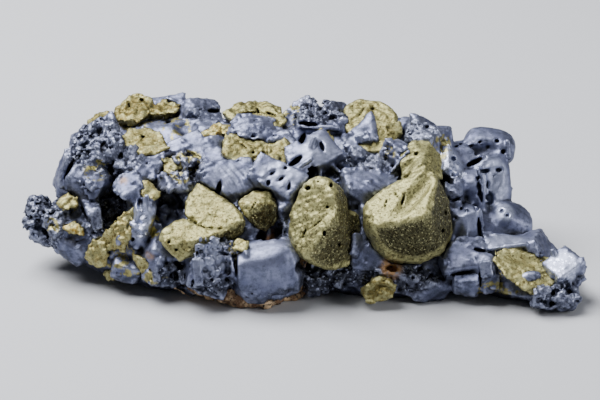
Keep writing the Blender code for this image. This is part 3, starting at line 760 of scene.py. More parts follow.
# Where the galena is spongy, smooth or bright, and where iron stains it: a place in the view, how far
# it reaches across, deep and up in millimetres, and how strongly. Bright is paler fresh cleavage with a
# painted highlight over it.
SPONGY = [
    ("left tip", (-69.6, -6.2), (10, 12, 9), 1.0),
    ("left shoulder", (-52.7, 13.5), (13, 12, 9), 1.0),
    ("skyline", (4.6, 23.8), (9, 8, 6), 1.0),
    ("rough top right of the middle", (19.4, 11.3), (9, 9, 5), 0.8),
    ("sparkling knob", (32.7, 18.0), (6, 6, 4), 0.9),
    ("low left", (-42.0, -17.6), (8, 8, 4), 0.7),
    ("front left", (-35.5, -20.0), (6, 8, 4), 0.9),
    ("low front, right of the centre", (26.0, -22.0), (14, 8, 4), 0.9),
    ("beside the heart", (-4.5, -8.0), (2.5, 6, 5), 0.7),
    ("under the centre crystal", (5.9, -21.0), (10, 10, 6), 1.0),
    ("foot of the front dome", (-9.0, -24.6), (12, 7, 3), 0.35),
    ("foot of the pitted block", (-24.0, -23.6), (8, 7, 3), 0.9),
    ("underside of the arm", (69.5, -25.5), (9, 8, 5), 1.0),
    ("pitted front block", (-23.8, -14.5), (7, 8, 9), 0.55),
    ("left cavity", (-52.0, -4.0), (8, 14, 10), 1.0),
    ("middle left", (-31.0, 8.0), (8, 9, 5), 0.6),
]
SMOOTH = [
    ("front dome", (-9.2, -17.6), (10, 8, 9), 1.0),
    ("spoon", (51.6, 4.3), (7, 8, 9), 1.0),
    ("upper right crystal", (51.3, 14.0), (9, 9, 6), 1.0),
    ("dome behind the bright patch", (44.5, 12.0), (6, 8, 5), 1.0),
    ("dark rounded crystal", (55.9, -6.8), (8, 9, 7), 0.9),
    ("dark column", (46.2, 2.7), (4, 8, 7), 1.0),
    ("right column", (44.0, -6.0), (6, 8, 8), 0.7),
    ("slab right front", (44.6, -16.2), (7, 7, 4), 0.7),
    ("left plates", (-58.0, 4.0), (6, 8, 6), 0.9),
    ("left facets", (-46.0, 1.5), (5, 8, 5), 0.9),
    ("pale blade", (-43.2, -6.0), (3.5, 6, 7), 1.0),
    ("tip block", (70.2, -18.4), (4.5, 7, 5), 0.7),
    ("triangular patch", (17.6, 18.0), (5, 8, 6), 0.9),
    ("etched block", (-2.6, 4.0), (6, 7, 5), 0.6),
    ("rippled slab", (-19.0, 4.0), (8, 8, 5), 0.7),
    ("slanted face", (18.9, 3.0), (8, 6, 4), 0.9),
    ("rail of the arm", (55.6, -13.5), (8, 7, 4), 0.8),
    ("top left ridge", (-41.9, 26.5), (9, 10, 4), 0.7),
    ("star crystal", (5.5, 12.5), (7, 7, 6), 0.6),
]
# Bright zones: paler fresh cleavage with a painted highlight and painted glints over it; on the spoon, which
# faces away from the key light, it is painted light
SILVER_AND_SHEEN = [
    ("star crystal", (5.0, 13.0), (6, 7, 5), 0.4),
    ("bright patch", (40.5, 9.5), (5, 6, 6), 1.0),
    ("bright shelf", (21.6, 7.6), (8, 6, 3), 0.1),
    ("sparkling knob", (32.7, 18.5), (6, 6, 5), 0.35),
    ("bright facet", (55.4, -3.5), (3, 4, 3), 0.9),
    ("spoon", (51.5, 4.4), (6, 8, 9), 0.55),
    ("tall block right", (44.8, -6.0), (4, 7, 7), 0.3),
    ("pitted front block", (-23.8, -14.5), (6, 8, 8), 0.6),
    ("slab right front", (44.6, -16.2), (6, 6, 5), 0.05),
    ("tip block", (71.0, -18.5), (5, 6, 6), 1.0),
    ("pale blade", (-43.2, -5.9), (4, 5, 7), 1.0),
    ("left tip", (-71.5, -9.0), (3, 4, 3), 0.8),
    ("front dome", (-9.2, -16.0), (9, 8, 8), 0.12),
    ("etched block", (-5.4, 6.5), (7, 8, 4), 0.4),
    ("rippled slab", (-19.0, 4.5), (8, 8, 5), 0.2),
    ("platform", (55.0, -13.0), (8, 8, 4), 0.5),
    ("rough top", (16.0, 13.0), (8, 8, 5), 0.4),
]
RUSTY = [
    ("left facets", (-47.6, 5.0), (1.5, 3, 1.2), 0.5),
    ("low left", (-40.3, -15.0), (1.7, 3, 1.4), 0.6),
    ("orange ring", (24.6, -18.8), (3.4, 5, 3.2), 1.0),
    ("tan stem under the heart", (-8.2, -9.9), (1.5, 9, 2.0), 1.0),
    ("beside the front dome", (1.0, -17.2), (1.6, 2.5, 1.4), 0.9),
    ("edge of the left plates", (-63.8, -1.0), (1.3, 2, 1.3), 0.9),
]

# Where shade is painted on the galena, as a dark colour over it
PAINTED_SHADE_ZONES = [
    ("under the centre crystal", (5.9, -21.0), (11, 11, 6), 0.80),
    ("low front, right of the centre", (26.0, -22.0), (12, 9, 5), 0.55),
    ("left tip", (-69.6, -6.2), (9, 12, 8), 0.30),
    ("foot of the pitted block", (-24.0, -23.6), (8, 7, 3), 0.50),
    ("front prism", (-31.8, -20.8), (7, 8, 4), 0.55),
    ("skyline", (4.6, 23.8), (9, 8, 5), 0.25),
]

# Where cleavage cuts the galena into a grid of small blocks
CLEAVED = [
    ("pitted front block", (-23.6, -15.6), (7, 9, 10), 1.3),
    ("left column", (-28.0, -20.0), (3, 5, 5), 0.6),
    ("tip block, lower side", (73.0, -23.0), (5, 6, 5), 0.7),
]

# Where a thin film of chalcopyrite lies on the galena
FILMED = [
    ("band under the top left crystals", (-42.5, 20.6), (7, 8, 2), 1.0),
    ("round the top cavity", (-33.4, 18.6), (4.5, 7, 4), 0.9),
    ("right of the small wedge", (-30.0, 10.0), (4.5, 6, 3), 0.8),
    ("over the left plates", (-54.6, 8.2), (5, 7, 3), 0.7),
    ("left plates, lower", (-61.4, -0.6), (5, 7, 4), 0.8),
    ("over the left cavity", (-50.5, 4.4), (4, 6, 3), 0.7),
    ("round the left crust", (-50.0, -14.0), (7, 8, 6), 0.8),
    ("right of the blade", (-39.6, -7.0), (2.5, 6, 4), 0.9),
    ("bottom edge, left", (-42.0, -20.4), (8, 6, 2.5), 0.8),
    ("left tip", (-67.6, -8.2), (3, 5, 3), 0.8),
    ("beside the back dome", (-3.0, 23.0), (4, 7, 3.5), 0.9),
    ("beside the small wedge", (-33.0, 6.4), (4, 6, 2.5), 0.7),
    ("strip on the horn", (37.6, 14.0), (4, 7, 4), 0.9),
    ("under the top right crystal", (23.0, 13.4), (6, 6, 2), 0.8),
    ("edge of the arm", (53.0, -23.4), (8, 7, 3), 0.8),
    ("low centre", (20.0, -23.0), (6, 7, 4), 0.6),
    ("block and dome", (-17.0, -13.5), (3, 5, 3), 0.7),
]

# Holes and slots in the galena: place in the view, half its size across and up, depth, and lean in degrees
GALENA_HOLES = [
    ("upper right crystal, 1", (46.4, 14.6), (0.55, 0.45), 2.0, 0),
    ("upper right crystal, 2", (48.6, 15.7), (0.6, 0.4), 1.6, 20),
    ("upper right crystal, 3", (50.8, 14.3), (0.5, 0.5), 1.8, 0),
    ("upper right crystal, 4", (53.2, 15.9), (0.7, 0.5), 1.8, -20),
    ("upper right crystal, 5", (47.6, 12.4), (0.6, 0.5), 2.2, 10),
    ("upper right crystal, 6", (51.8, 12.3), (0.5, 0.4), 1.8, 0),
    ("upper right crystal, 7", (54.8, 13.0), (0.6, 0.7), 2.0, 0),
    ("upper right crystal, 8", (49.7, 11.5), (0.4, 0.4), 1.5, 0),
    ("dome", (41.3, 11.1), (0.8, 0.7), 2.2, 10),
    ("gap over the spoon", (47.1, 10.2), (3.4, 0.7), 4.0, 28),
    ("edge of the dome, left", (42.2, 14.4), (2.5, 0.3), 1.8, 26),
    ("edge of the dome, right", (47.2, 13.6), (2.6, 0.3), 1.8, -34),
    ("gap left of the spoon", (48.6, 2.6), (0.45, 4.0), 3.2, 10),
    ("gap over the tall block", (43.0, 0.4), (2.6, 0.4), 2.4, 20),
    ("gap right of the tall block", (48.4, -7.4), (0.5, 3.6), 3.0, 8),
    ("spoon, wide slot", (49.8, 7.8), (1.6, 0.6), 2.6, 10),
    ("spoon, short slot", (53.7, 8.1), (0.9, 0.55), 2.2, -8),
    ("spoon, hole", (52.4, 6.5), (0.45, 0.4), 1.6, 0),
    ("spoon, slit", (50.6, 4.2), (0.4, 1.3), 2.0, -8),
    ("spoon, ring", (51.0, 0.5), (1.4, 1.8), 2.2, 12),
    ("bright facet, 1", (54.5, -3.0), (0.5, 0.5), 1.6, 0),
    ("bright facet, 2", (56.0, -4.1), (0.55, 0.45), 1.6, 0),
    ("hollow under the bright patch", (38.9, 5.4), (1.7, 1.3), 3.6, -12),
    ("lower right, 1", (43.5, -2.4), (0.45, 0.5), 1.6, 0),
    ("lower right, 2", (45.1, -3.0), (0.4, 0.4), 1.4, 0),
    ("lower right, 3", (42.1, -4.9), (0.45, 0.6), 1.5, 20),
    ("crack by the tall block", (48.9, -20.4), (0.3, 3.6), 2.4, -4),
    ("arm, 1", (68.6, -25.4), (1.0, 0.8), 2.6, 0),
    ("arm, 2", (68.3, -28.0), (0.8, 0.6), 2.0, 0),
    ("arm, 3", (73.0, -25.0), (0.6, 0.8), 2.0, 0),
    ("star, upper slot", (0.4, 15.9), (0.7, 2.4), 4.0, -24),
    ("star, left slot", (-1.2, 10.4), (0.75, 2.3), 3.4, -52),
    ("star, deep slot", (2.9, 8.0), (1.3, 2.7), 5.0, -30),
    ("star, right slot", (5.9, 14.3), (0.55, 1.5), 2.6, 18),
    ("etched block, 1", (-7.5, 7.2), (0.9, 0.4), 1.6, 30),
    ("etched block, 2", (-5.2, 5.6), (1.2, 0.35), 1.8, 34),
    ("etched block, 3", (-8.6, 4.6), (0.6, 0.8), 1.6, 0),
    ("etched block, 4", (-4.0, 8.6), (0.5, 0.5), 1.4, 0),
    ("etched block, 5", (-3.0, 3.6), (0.4, 1.2), 1.8, -12),
    ("gap beside the rippled slab", (-21.9, 3.2), (0.7, 2.0), 3.0, -8),
    ("skyline slot", (2.4, 20.5), (2.9, 0.65), 3.6, -5),
    ("back slot", (-23.2, 24.0), (2.0, 0.55), 3.0, 0),
    ("top cavity ring", (-35.6, 21.1), (0.8, 0.7), 2.0, 0),
    ("edge plate crack", (-62.2, 8.6), (0.55, 3.0), 3.0, -24),
    ("left tip hole", (-70.8, -7.2), (1.3, 0.8), 2.6, 10),
    ("block crack, level", (-20.3, -14.6), (2.2, 0.3), 1.8, -14),
    ("block crack, upright", (-17.8, -16.3), (0.3, 2.4), 1.8, 4),
    ("blade ring", (-45.2, -10.6), (0.55, 0.55), 1.6, 0),
    ("blade fork", (-43.2, -0.6), (0.75, 2.2), 2.6, -4),
    ("dark column notch, 1", (48.2, 6.0), (0.7, 0.35), 1.6, 10),
    ("dark column notch, 2", (48.3, 3.8), (0.7, 0.4), 1.6, 10),
    ("dark column notch, 3", (48.3, 1.6), (0.6, 0.4), 1.6, 10),
    ("inside the orange ring", (24.6, -18.8), (1.7, 1.2), 2.6, 0),
    ("crack between block and dome", (-17.2, -17.5), (0.35, 4.6), 2.4, 2),
    ("slot in the left plates", (-58.0, -3.4), (0.4, 2.8), 2.4, 30),
    ("slot under the left plates", (-53.0, 0.8), (3.0, 0.4), 2.4, 16),
    ("gap under the spoon", (47.4, -2.0), (0.6, 2.2), 3.0, 24),
    ("slot beside the arm root", (48.6, -13.6), (2.0, 0.5), 2.4, -12),
    ("crack, slab right front", (43.2, -19.8), (3.4, 0.35), 1.8, 10),
]

# Cleaved cubes too small for the solid: middle and reach in the view, how many, and their size
SMALL_CUBES = [
    ("etched block", (-6.4, 6.4), (4, 3), 26, (0.4, 1.2)),
    ("rough top", (18.0, 11.0), (9, 7), 60, (0.5, 1.7)),
    ("sparkling knob", (32.5, 18.0), (6, 6), 46, (0.4, 1.3)),
    ("knob strip", (35.0, 13.5), (4, 6), 26, (0.4, 1.2)),
    ("bright patch", (40.5, 9.0), (5, 6), 40, (0.4, 1.4)),
    ("right column", (43.5, -5.0), (5, 8), 14, (0.5, 1.3)),
    ("slab right front", (44.5, -17.5), (7, 7), 24, (0.5, 1.8)),
    ("arm", (55.0, -18.0), (8, 6), 30, (0.5, 1.5)),
    ("tip block", (74.0, -23.5), (3.5, 5.5), 34, (0.5, 1.7)),
    ("left cavity", (-50.0, -4.0), (9, 10), 70, (0.5, 1.9)),
    ("middle cavity", (-35.5, -3.0), (6, 7), 46, (0.5, 1.9)),
    ("left tip", (-68.0, -6.0), (7, 7), 60, (0.4, 1.3)),
    ("left shoulder", (-53.0, 12.0), (13, 9), 90, (0.5, 1.7)),
    ("low left", (-41.0, -17.0), (10, 6), 60, (0.5, 1.7)),
    ("pitted block", (-24.0, -15.0), (7, 10), 50, (0.4, 1.5)),
    ("skyline", (4.0, 22.5), (11, 5), 46, (0.5, 1.6)),
    ("middle ledge", (-14.0, 19.5), (12, 5), 46, (0.5, 1.6)),
    ("upper left ledge", (-38.0, 19.0), (14, 7), 60, (0.5, 1.6)),
]

# Ribs, plates and blades of galena: place in the view, half size across, up and out, and lean in degrees
GALENA_PLATES = [
    ("star, rib down left", (0.4, 9.2), (0.55, 3.6, 1.2), -54),
    ("star, rib down", (5.4, 7.4), (0.6, 3.4, 1.2), -6),
    ("star, rib right", (8.6, 9.4), (0.5, 3.2, 1.0), 48),
    ("star, arm over the slot", (3.2, 14.6), (0.7, 2.6, 1.0), -20),
    ("cavity plate, left", (-54.9, -5.0), (1.5, 3.0, 0.7), 8),
    ("cavity plate, lower", (-52.6, -7.4), (1.2, 2.2, 0.7), -16),
    ("cavity plate, right", (-49.2, -1.2), (1.8, 1.3, 0.7), 20),
    ("cavity plate, deep", (-51.6, -4.0), (1.0, 2.8, 0.8), -34),
    ("middle cavity crystal, high", (-36.2, -2.6), (0.9, 1.6, 1.2), 10),
    ("middle cavity crystal, low", (-36.8, -5.4), (0.9, 1.7, 1.2), -8),
    ("front prism", (-31.8, -20.8), (0.8, 2.0, 0.9), 12),
    ("front tabular crystal, 1", (-34.6, -18.4), (1.4, 1.0, 0.8), 30),
    ("front tabular crystal, 2", (-37.6, -17.0), (1.0, 1.6, 0.8), -24),
    ("front tabular crystal, 3", (-35.4, -22.4), (1.6, 0.8, 0.8), -18),
    ("pale bar", (-25.8, -22.9), (2.2, 0.55, 0.7), 14),
    ("left column", (-27.6, -19.4), (1.2, 3.6, 1.1), 6),
    ("blade prong, left", (-45.0, -1.4), (0.7, 2.6, 0.8), -16),
    ("blade prong, right", (-41.2, -0.9), (0.6, 2.4, 0.8), 4),
    ("upper left lath, 1", (-40.2, 25.6), (2.0, 0.5, 0.8), 30),
    ("upper left lath, 2", (-37.0, 26.6), (2.0, 0.45, 0.8), 40),
    ("upper left lath, 3", (-33.6, 26.4), (2.2, 0.5, 0.8), -30),
    ("skyline crystal", (4.5, 25.2), (0.8, 0.8, 0.8), 30),
    ("skyline slab", (5.6, 19.6), (5.4, 0.7, 1.4), -4),
    ("cleaved lath, 1", (24.4, 9.6), (0.4, 4.2, 0.8), -42),
    ("cleaved lath, 2", (27.0, 10.4), (0.45, 4.0, 0.8), -40),
    ("bright ledge", (21.4, 8.4), (5.0, 0.5, 1.0), 84),
    ("tall block, ridge", (45.0, -7.2), (0.35, 4.6, 0.6), 0),
    ("dark column, edge", (48.6, 4.6), (0.5, 4.0, 0.8), 8),
    ("spoon, handle", (49.9, 4.4), (0.7, 5.2, 0.9), 10),
    ("upper right crystal, rim", (56.3, 13.6), (0.55, 2.8, 0.8), 6),
    ("spoon, inner crystal", (51.2, 0.6), (0.9, 1.1, 0.9), 20),
    ("rail of the arm", (56.2, -12.6), (5.2, 0.6, 1.0), 8),
    ("arm root block, 1", (50.2, -18.6), (1.7, 2.3, 1.0), 8),
    ("arm root block, 2", (52.6, -22.0), (1.3, 2.2, 1.0), -6),
    ("tip, upper point", (68.6, -14.6), (0.8, 1.5, 1.0), 18),
    ("left blade edge", (-63.6, 7.6), (0.8, 4.6, 1.0), -16),
    ("left plates, round inclusion", (-56.2, 1.0), (1.1, 1.0, 0.6), 0),
    ("pointed galena, low centre", (10.6, -21.6), (1.3, 2.2, 1.2), -18),
]

# Galena on and under the chalcopyrite: crystal, place in the view, half size, lean in degrees, and how far
# below and behind the place it is
GALENA_LENSES = [
    ("chalcopyrite_arm_plate", "lens", (62.1, -20.8), (3.1, 1.6, 1.3), 12, (0.0, 0.0)),
    ("chalcopyrite_left_crust", "patch", (-48.8, -10.8), (1.0, 1.9, 1.4), -12, (0.0, 0.0)),
    ("chalcopyrite_heart", "stem under the crystal", (-8.6, -7.4), (0.75, 2.6, 0.8), -12, (2.2, 1.6)),
]

# Broad shallow scoops: node, place in the view, half size, depth, and lean in degrees
SCOOPS = [
    ("chalcopyrite_big_right", "scar", (31.2, 1.4), (2.7, 9.0), 3.2, -28),
    ("chalcopyrite_big_right", "left of the ridge", (28.6, 9.0), (1.6, 4.6), 2.2, -34),
    ("chalcopyrite_big_centre", "notch side", (8.4, -2.0), (1.8, 2.8), 1.8, -20),
    ("chalcopyrite_arm_plate", "middle", (60.6, -16.4), (5.0, 1.8), 1.8, -16),
    ("chalcopyrite_back_dome", "under the crest", (-11.6, 22.6), (4.2, 1.5), 1.6, 10),
    ("galena_mass", "spoon, bowl", (51.9, 5.8), (2.9, 5.4), 2.4, -16),
    ("galena_mass", "upper right crystal", (50.4, 14.0), (4.4, 2.2), 2.0, 10),
    ("galena_mass", "tall block, left facet", (42.6, -8.4), (1.6, 4.4), 2.2, 0),
    ("galena_mass", "blade, hollow", (-43.2, -5.4), (1.3, 5.0), 2.0, -14),
    ("galena_mass", "left plates", (-57.6, 3.6), (3.8, 3.4), 2.2, 20),
    ("galena_mass", "triangular patch", (17.6, 17.6), (3.0, 3.0), 1.8, 0),
]

# Fine parallel grooves: node, place, reach, the way across them in the view, their spacing and depth
GROOVED = [
    ("galena_mass", "rippled slab", (-19.0, 3.6), (8, 9, 6), (0.8, 0.6), 1.5, 0.16),
    ("galena_mass", "wavy bands, upper left", (-45.6, 19.6), (8, 9, 4), (0.35, 0.94), 1.5, 0.26),
    ("galena_mass", "cleaved block", (26.0, 10.6), (5, 6, 6), (0.75, 0.66), 1.6, 0.26),
    ("galena_mass", "pale blade", (-43.2, -6.0), (4, 6, 8), (0.97, -0.25), 1.3, 0.12),
    ("galena_mass", "slanted face", (18.9, 3.0), (8, 6, 4), (0.5, 0.86), 1.7, 0.10),
    ("chalcopyrite_big_centre", "lit face", (2.5, -4.0), (6, 7, 8), (-0.45, 0.9), 1.3, 0.10),
    ("chalcopyrite_big_right", "over the scar", (31.6, 9.0), (5, 7, 7), (0.72, -0.69), 2.3, 0.26),
    ("chalcopyrite_top_right", "right side", (24.0, 22.0), (5, 8, 6), (0.5, 0.86), 1.8, 0.07),
]


# How far the middles of holes lie under the surface, and those of plates and scoops over it, as shares of
# their depth
HOLE_SUNK = 0.25
PLATE_RAISED = 0.1
SCOOP_RAISED = 0.5

# Rounded edges and fillets, in millimetres
PLATE_ROUNDING = 0.3
PLATE_FILLET = 0.25
LENS_FILLET = 0.1
SCOOP_LIP = 0.9
GALENA_LIP = 0.35
CHALCOPYRITE_LIP = 0.25
CUBE_ROUNDING = 0.08
CUBE_FILLET = 0.12

# The share of the cubes in a group that grew the same way round
ALIGNED_SHARE = 0.6

# From the surface to the middle of a zone just behind it, in millimetres
ZONE_BEHIND = Vector((0.0, 1.0, 0.0))


def turned(direction, lean):
    """Axes across, up and out of a face that looks this way, leaning by an angle in degrees."""
    out = Vector(direction).normalized()
    across = VIEW_UP.cross(out)
    if across.length < 0.1:
        across = Vector((1.0, 0.0, 0.0))
    across.normalize()
    spin = Matrix.Rotation(math.radians(lean), 3, out)
    across = spin @ across
    return np.array([across, out.cross(across), out])


def cut_hole(field, node, place, half, deep, lean, lip):
    """A pit whose mouth lies in the surface seen at this place."""
    hit, _ = landed(*place, node)
    axes = turned(TO_VIEWER, lean)
    field.cut(Form(hit - TO_VIEWER * deep * HOLE_SUNK, (*half, deep), axes), lip)


def grow_plate(field, place, half, lean):
    """A rib or plate of galena that stands a little over half proud of the surface seen at this place."""
    hit, _ = landed(*place, "galena_mass")
    axes = turned(TO_VIEWER, lean)
    field.add(Form(hit + TO_VIEWER * half[2] * PLATE_RAISED, half, axes, PLATE_ROUNDING), PLATE_FILLET)


def cut_scoops(field, node_name):
    """Shallow scoops in the faces of a node, cut by the lower end of an ellipsoid."""
    for scooped, _, place, half, deep, lean in SCOOPS:
        if scooped == node_name:
            hit, facing = landed(*place, node_name)
            middle = hit + facing * deep * SCOOP_RAISED
            field.cut(Form(middle, (*half, deep), turned(facing, lean)), SCOOP_LIP)


def random_turn(chance):
    """Axes turned any way."""
    first = Matrix.Rotation(chance.uniform(0, math.tau), 3, "Z")
    tilt = Matrix.Rotation(chance.uniform(0, math.pi), 3, "X")
    return np.array(first @ tilt @ Matrix.Rotation(chance.uniform(0, math.tau), 3, "Z"))


def grow_cubes(field, node, place, reach, count, sizes, chance):
    """Small cleaved cubes, half sunk in the surface seen round a place."""
    shared = random_turn(chance)
    for _ in range(count):
        across = place[0] + chance.uniform(-reach[0], reach[0])
        up = place[1] + chance.uniform(-reach[1], reach[1])
        ray = (on_view(across, up) - EYE).normalized()
        hit, normal, _, _ = TREES[node].ray_cast(EYE, ray)
        if hit is None:
            continue
        size = chance.uniform(*sizes) * 0.5
        half = [size * chance.uniform(0.6, 1.5) for _ in range(3)]
        axes = shared if chance.random() < ALIGNED_SHARE else random_turn(chance)
        middle = hit - normal * size * chance.uniform(0.1, 0.7)
        field.add(Form(middle, half, axes, CUBE_ROUNDING), CUBE_FILLET)


def surface_points(node, count, chance):
    """Points spread evenly over a solid's surface, with the way each faces."""
    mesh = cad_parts[node].data
    faces = list(mesh.polygons)
    weights = np.cumsum([face.area for face in faces])
    found = []
    for _ in range(count):
        face = faces[min(int(np.searchsorted(weights, chance.random() * weights[-1])), len(faces) - 1)]
        corners = [mesh.vertices[i].co / MM for i in face.vertices]
        a, b = sorted((chance.random(), chance.random()))
        spot = corners[0] * a + corners[1] * (b - a) + corners[2] * (1 - b)
        found.append((spot, face.normal.copy()))
    return found


def zones_at(rows):
    """Zones of the galena as middles just behind its surface, reaches and strengths."""
    zones = []
    for _, place, reach, strength in rows:
        hit, _ = landed(*place, "galena_mass")
        zones.append((hit + ZONE_BEHIND, reach, strength))
    return zones


def add_grooves(field, node_name):
    """Fine parallel grooves, a little wavy, in the places listed for a node."""
    for grooved, _, place, reach, (right, up), spacing, depth in GROOVED:
        if grooved != node_name:
            continue
        hit, _ = landed(*place, node_name)
        part, offset = field.near(hit, max(reach))
        across = Vector((right, 0.0, 0.0)) + VIEW_UP * up
        along = offset[..., 0] * across.x + offset[..., 1] * across.y + offset[..., 2] * across.z
        held = field.weight([(hit, reach, depth)])[part]
        wander = field.noise(GROOVE_WANDER, 31)[part]
        field.values[part] += held * np.sin(math.tau * along / spacing + 1.4 * wander)


def solid_field(node, step, margin=2.0):
    """The field of a node's solid."""
    box = np.array([vert.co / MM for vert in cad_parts[node].data.vertices])
    field = Field(box.min(axis=0) - margin, box.max(axis=0) + margin, step)
    field.fill_from(TREES[node], step * 2.0)
    return field


# Sizes of the galena's relief, in millimetres
ROUGH_PATCH = 11.0
SCOOP_SIZE = 7.0
SWELL_SIZE = 7.0
GROOVE_WANDER = 4.0
PORE_CLUSTER = 3.0
GRID_SIZE = 1.9
DENT_SIZE = 1.6
BLOCK_SIZE = 1.25
PORE_SIZE = 1.1
GRIT_SIZE = 0.9

# How far from the surface the relief is worked out, in millimetres
ETCHED_BAND = 1.8

# The way the opened cleavage faces, and its lean in degrees
CLEAVAGE_FACING = (-0.35, -0.85, 0.4)
CLEAVAGE_LEAN = 12

# How many places are tried for the cubes that are scattered all round
SCATTERED_CUBES = 1400


def soften(field, spongy, smooth):
    """Round the solid's edges: a little everywhere, most on the smooth slabs, least in the sponge."""
    softened = field.values
    for which in range(3):
        for _ in range(2):
            softened = box_average(softened, SOFT_REACH, which)
    share = 0.25 + 0.70 * np.clip(4.0 * smooth - 3.0, 0, 1)
    field.values += (softened - field.values) * share * (1.0 - 0.6 * spongy)


def etch(field, rough, band):
    """Shallow scoops all over, and cleaved blocks that stand proud or are gone, most where it is rough."""
    scoops, _ = field.cells(SCOOP_SIZE, 21, band, "round")
    blocks, height = field.cells(BLOCK_SIZE, 22, band, "cube")
    field.values += (0.30 + 0.45 * rough) * 1.3 * (0.42 - scoops)
    field.values += rough * (1.3 * np.clip(blocks - 0.30, 0, 0.25) + 0.9 * (height - 0.55))
    field.values += rough * 0.7 * (height > 0.86)
    field.values += 0.22 * field.noise(SWELL_SIZE, 1) + 0.24 * rough * field.noise(DENT_SIZE, 2)


def open_cleavage(field, band):
    """A grid of small blocks of different heights, with cracks between them."""
    opened = field.weight(zones_at(CLEAVED))
    grid, height = field.cells(GRID_SIZE, 23, band, "cube", turned(CLEAVAGE_FACING, CLEAVAGE_LEAN))
    field.values += opened * (2.2 * np.clip(grid - 0.26, 0, 0.4) + 1.3 * (height - 0.5))


def scatter_cubes(field, rough, chance):
    """Single cubes all round the galena, most where it is rough."""
    spots = surface_points("galena_mass", SCATTERED_CUBES, chance)
    roughness = field.sample(rough, np.array([spot for spot, _ in spots]))
    for (spot, normal), share in zip(spots, roughness):
        if chance.random() > share + 0.08:
            continue
        size = chance.uniform(0.3, 1.0)
        half = [size * chance.uniform(0.6, 1.4) for _ in range(3)]
        field.add(Form(spot - normal * size * 0.5, half, random_turn(chance), CUBE_ROUNDING), CUBE_FILLET)


def open_pores(field, spongy, smooth):
    """Pores that open on the surface: many and deep in the sponge, few on the smooth slabs."""
    pores = field.noise(PORE_SIZE, 3) + 0.5 * field.noise(PORE_CLUSTER, 4)
    open_pore = (1.60 - 0.50 * spongy + 0.60 * smooth) - pores
    shell = -field.values - (0.7 + 1.4 * spongy)
    field.values = np.maximum(field.values, -np.maximum(open_pore * 0.9, shell))


def galena_field(settings):
    """The etched galena mass, with its plates, cubes, pores and holes, and how rough it is at each place."""
    chance = random.Random(settings.seed)
    field = solid_field("galena_mass", settings.galena_step)
    field.values -= SEAM_FILL
    spongy = field.weight(zones_at(SPONGY))
    smooth = field.weight(zones_at(SMOOTH))
    rough = np.clip(0.17 + 0.16 * field.noise(ROUGH_PATCH, 6) + 0.90 * spongy - 0.40 * smooth, 0.02, 1.0)
    soften(field, spongy, smooth)
    band = np.abs(field.values) < ETCHED_BAND
    etch(field, rough, band)
    open_cleavage(field, band)
    add_grooves(field, "galena_mass")
    cut_scoops(field, "galena_mass")
    for _, place, half, lean in GALENA_PLATES:
        grow_plate(field, place, half, lean)
    for node_name, _, place, half, lean, (below, behind) in GALENA_LENSES:
        middle = landed(*place, node_name)[0] - VIEW_UP * below - TO_VIEWER * behind
        field.add(Form(middle, half, turned(TO_VIEWER, lean)), LENS_FILLET)
    for _, place, reach, count, sizes in SMALL_CUBES:
        grow_cubes(field, "galena_mass", place, reach, count, sizes, chance)
    scatter_cubes(field, rough, chance)
    open_pores(field, spongy, smooth)
    for _, place, half, deep, lean in GALENA_HOLES:
        cut_hole(field, "galena_mass", place, half, deep, lean, GALENA_LIP)
    field.values += (0.04 + 0.12 * rough) * field.noise(GRIT_SIZE, 5)
    return field, rough


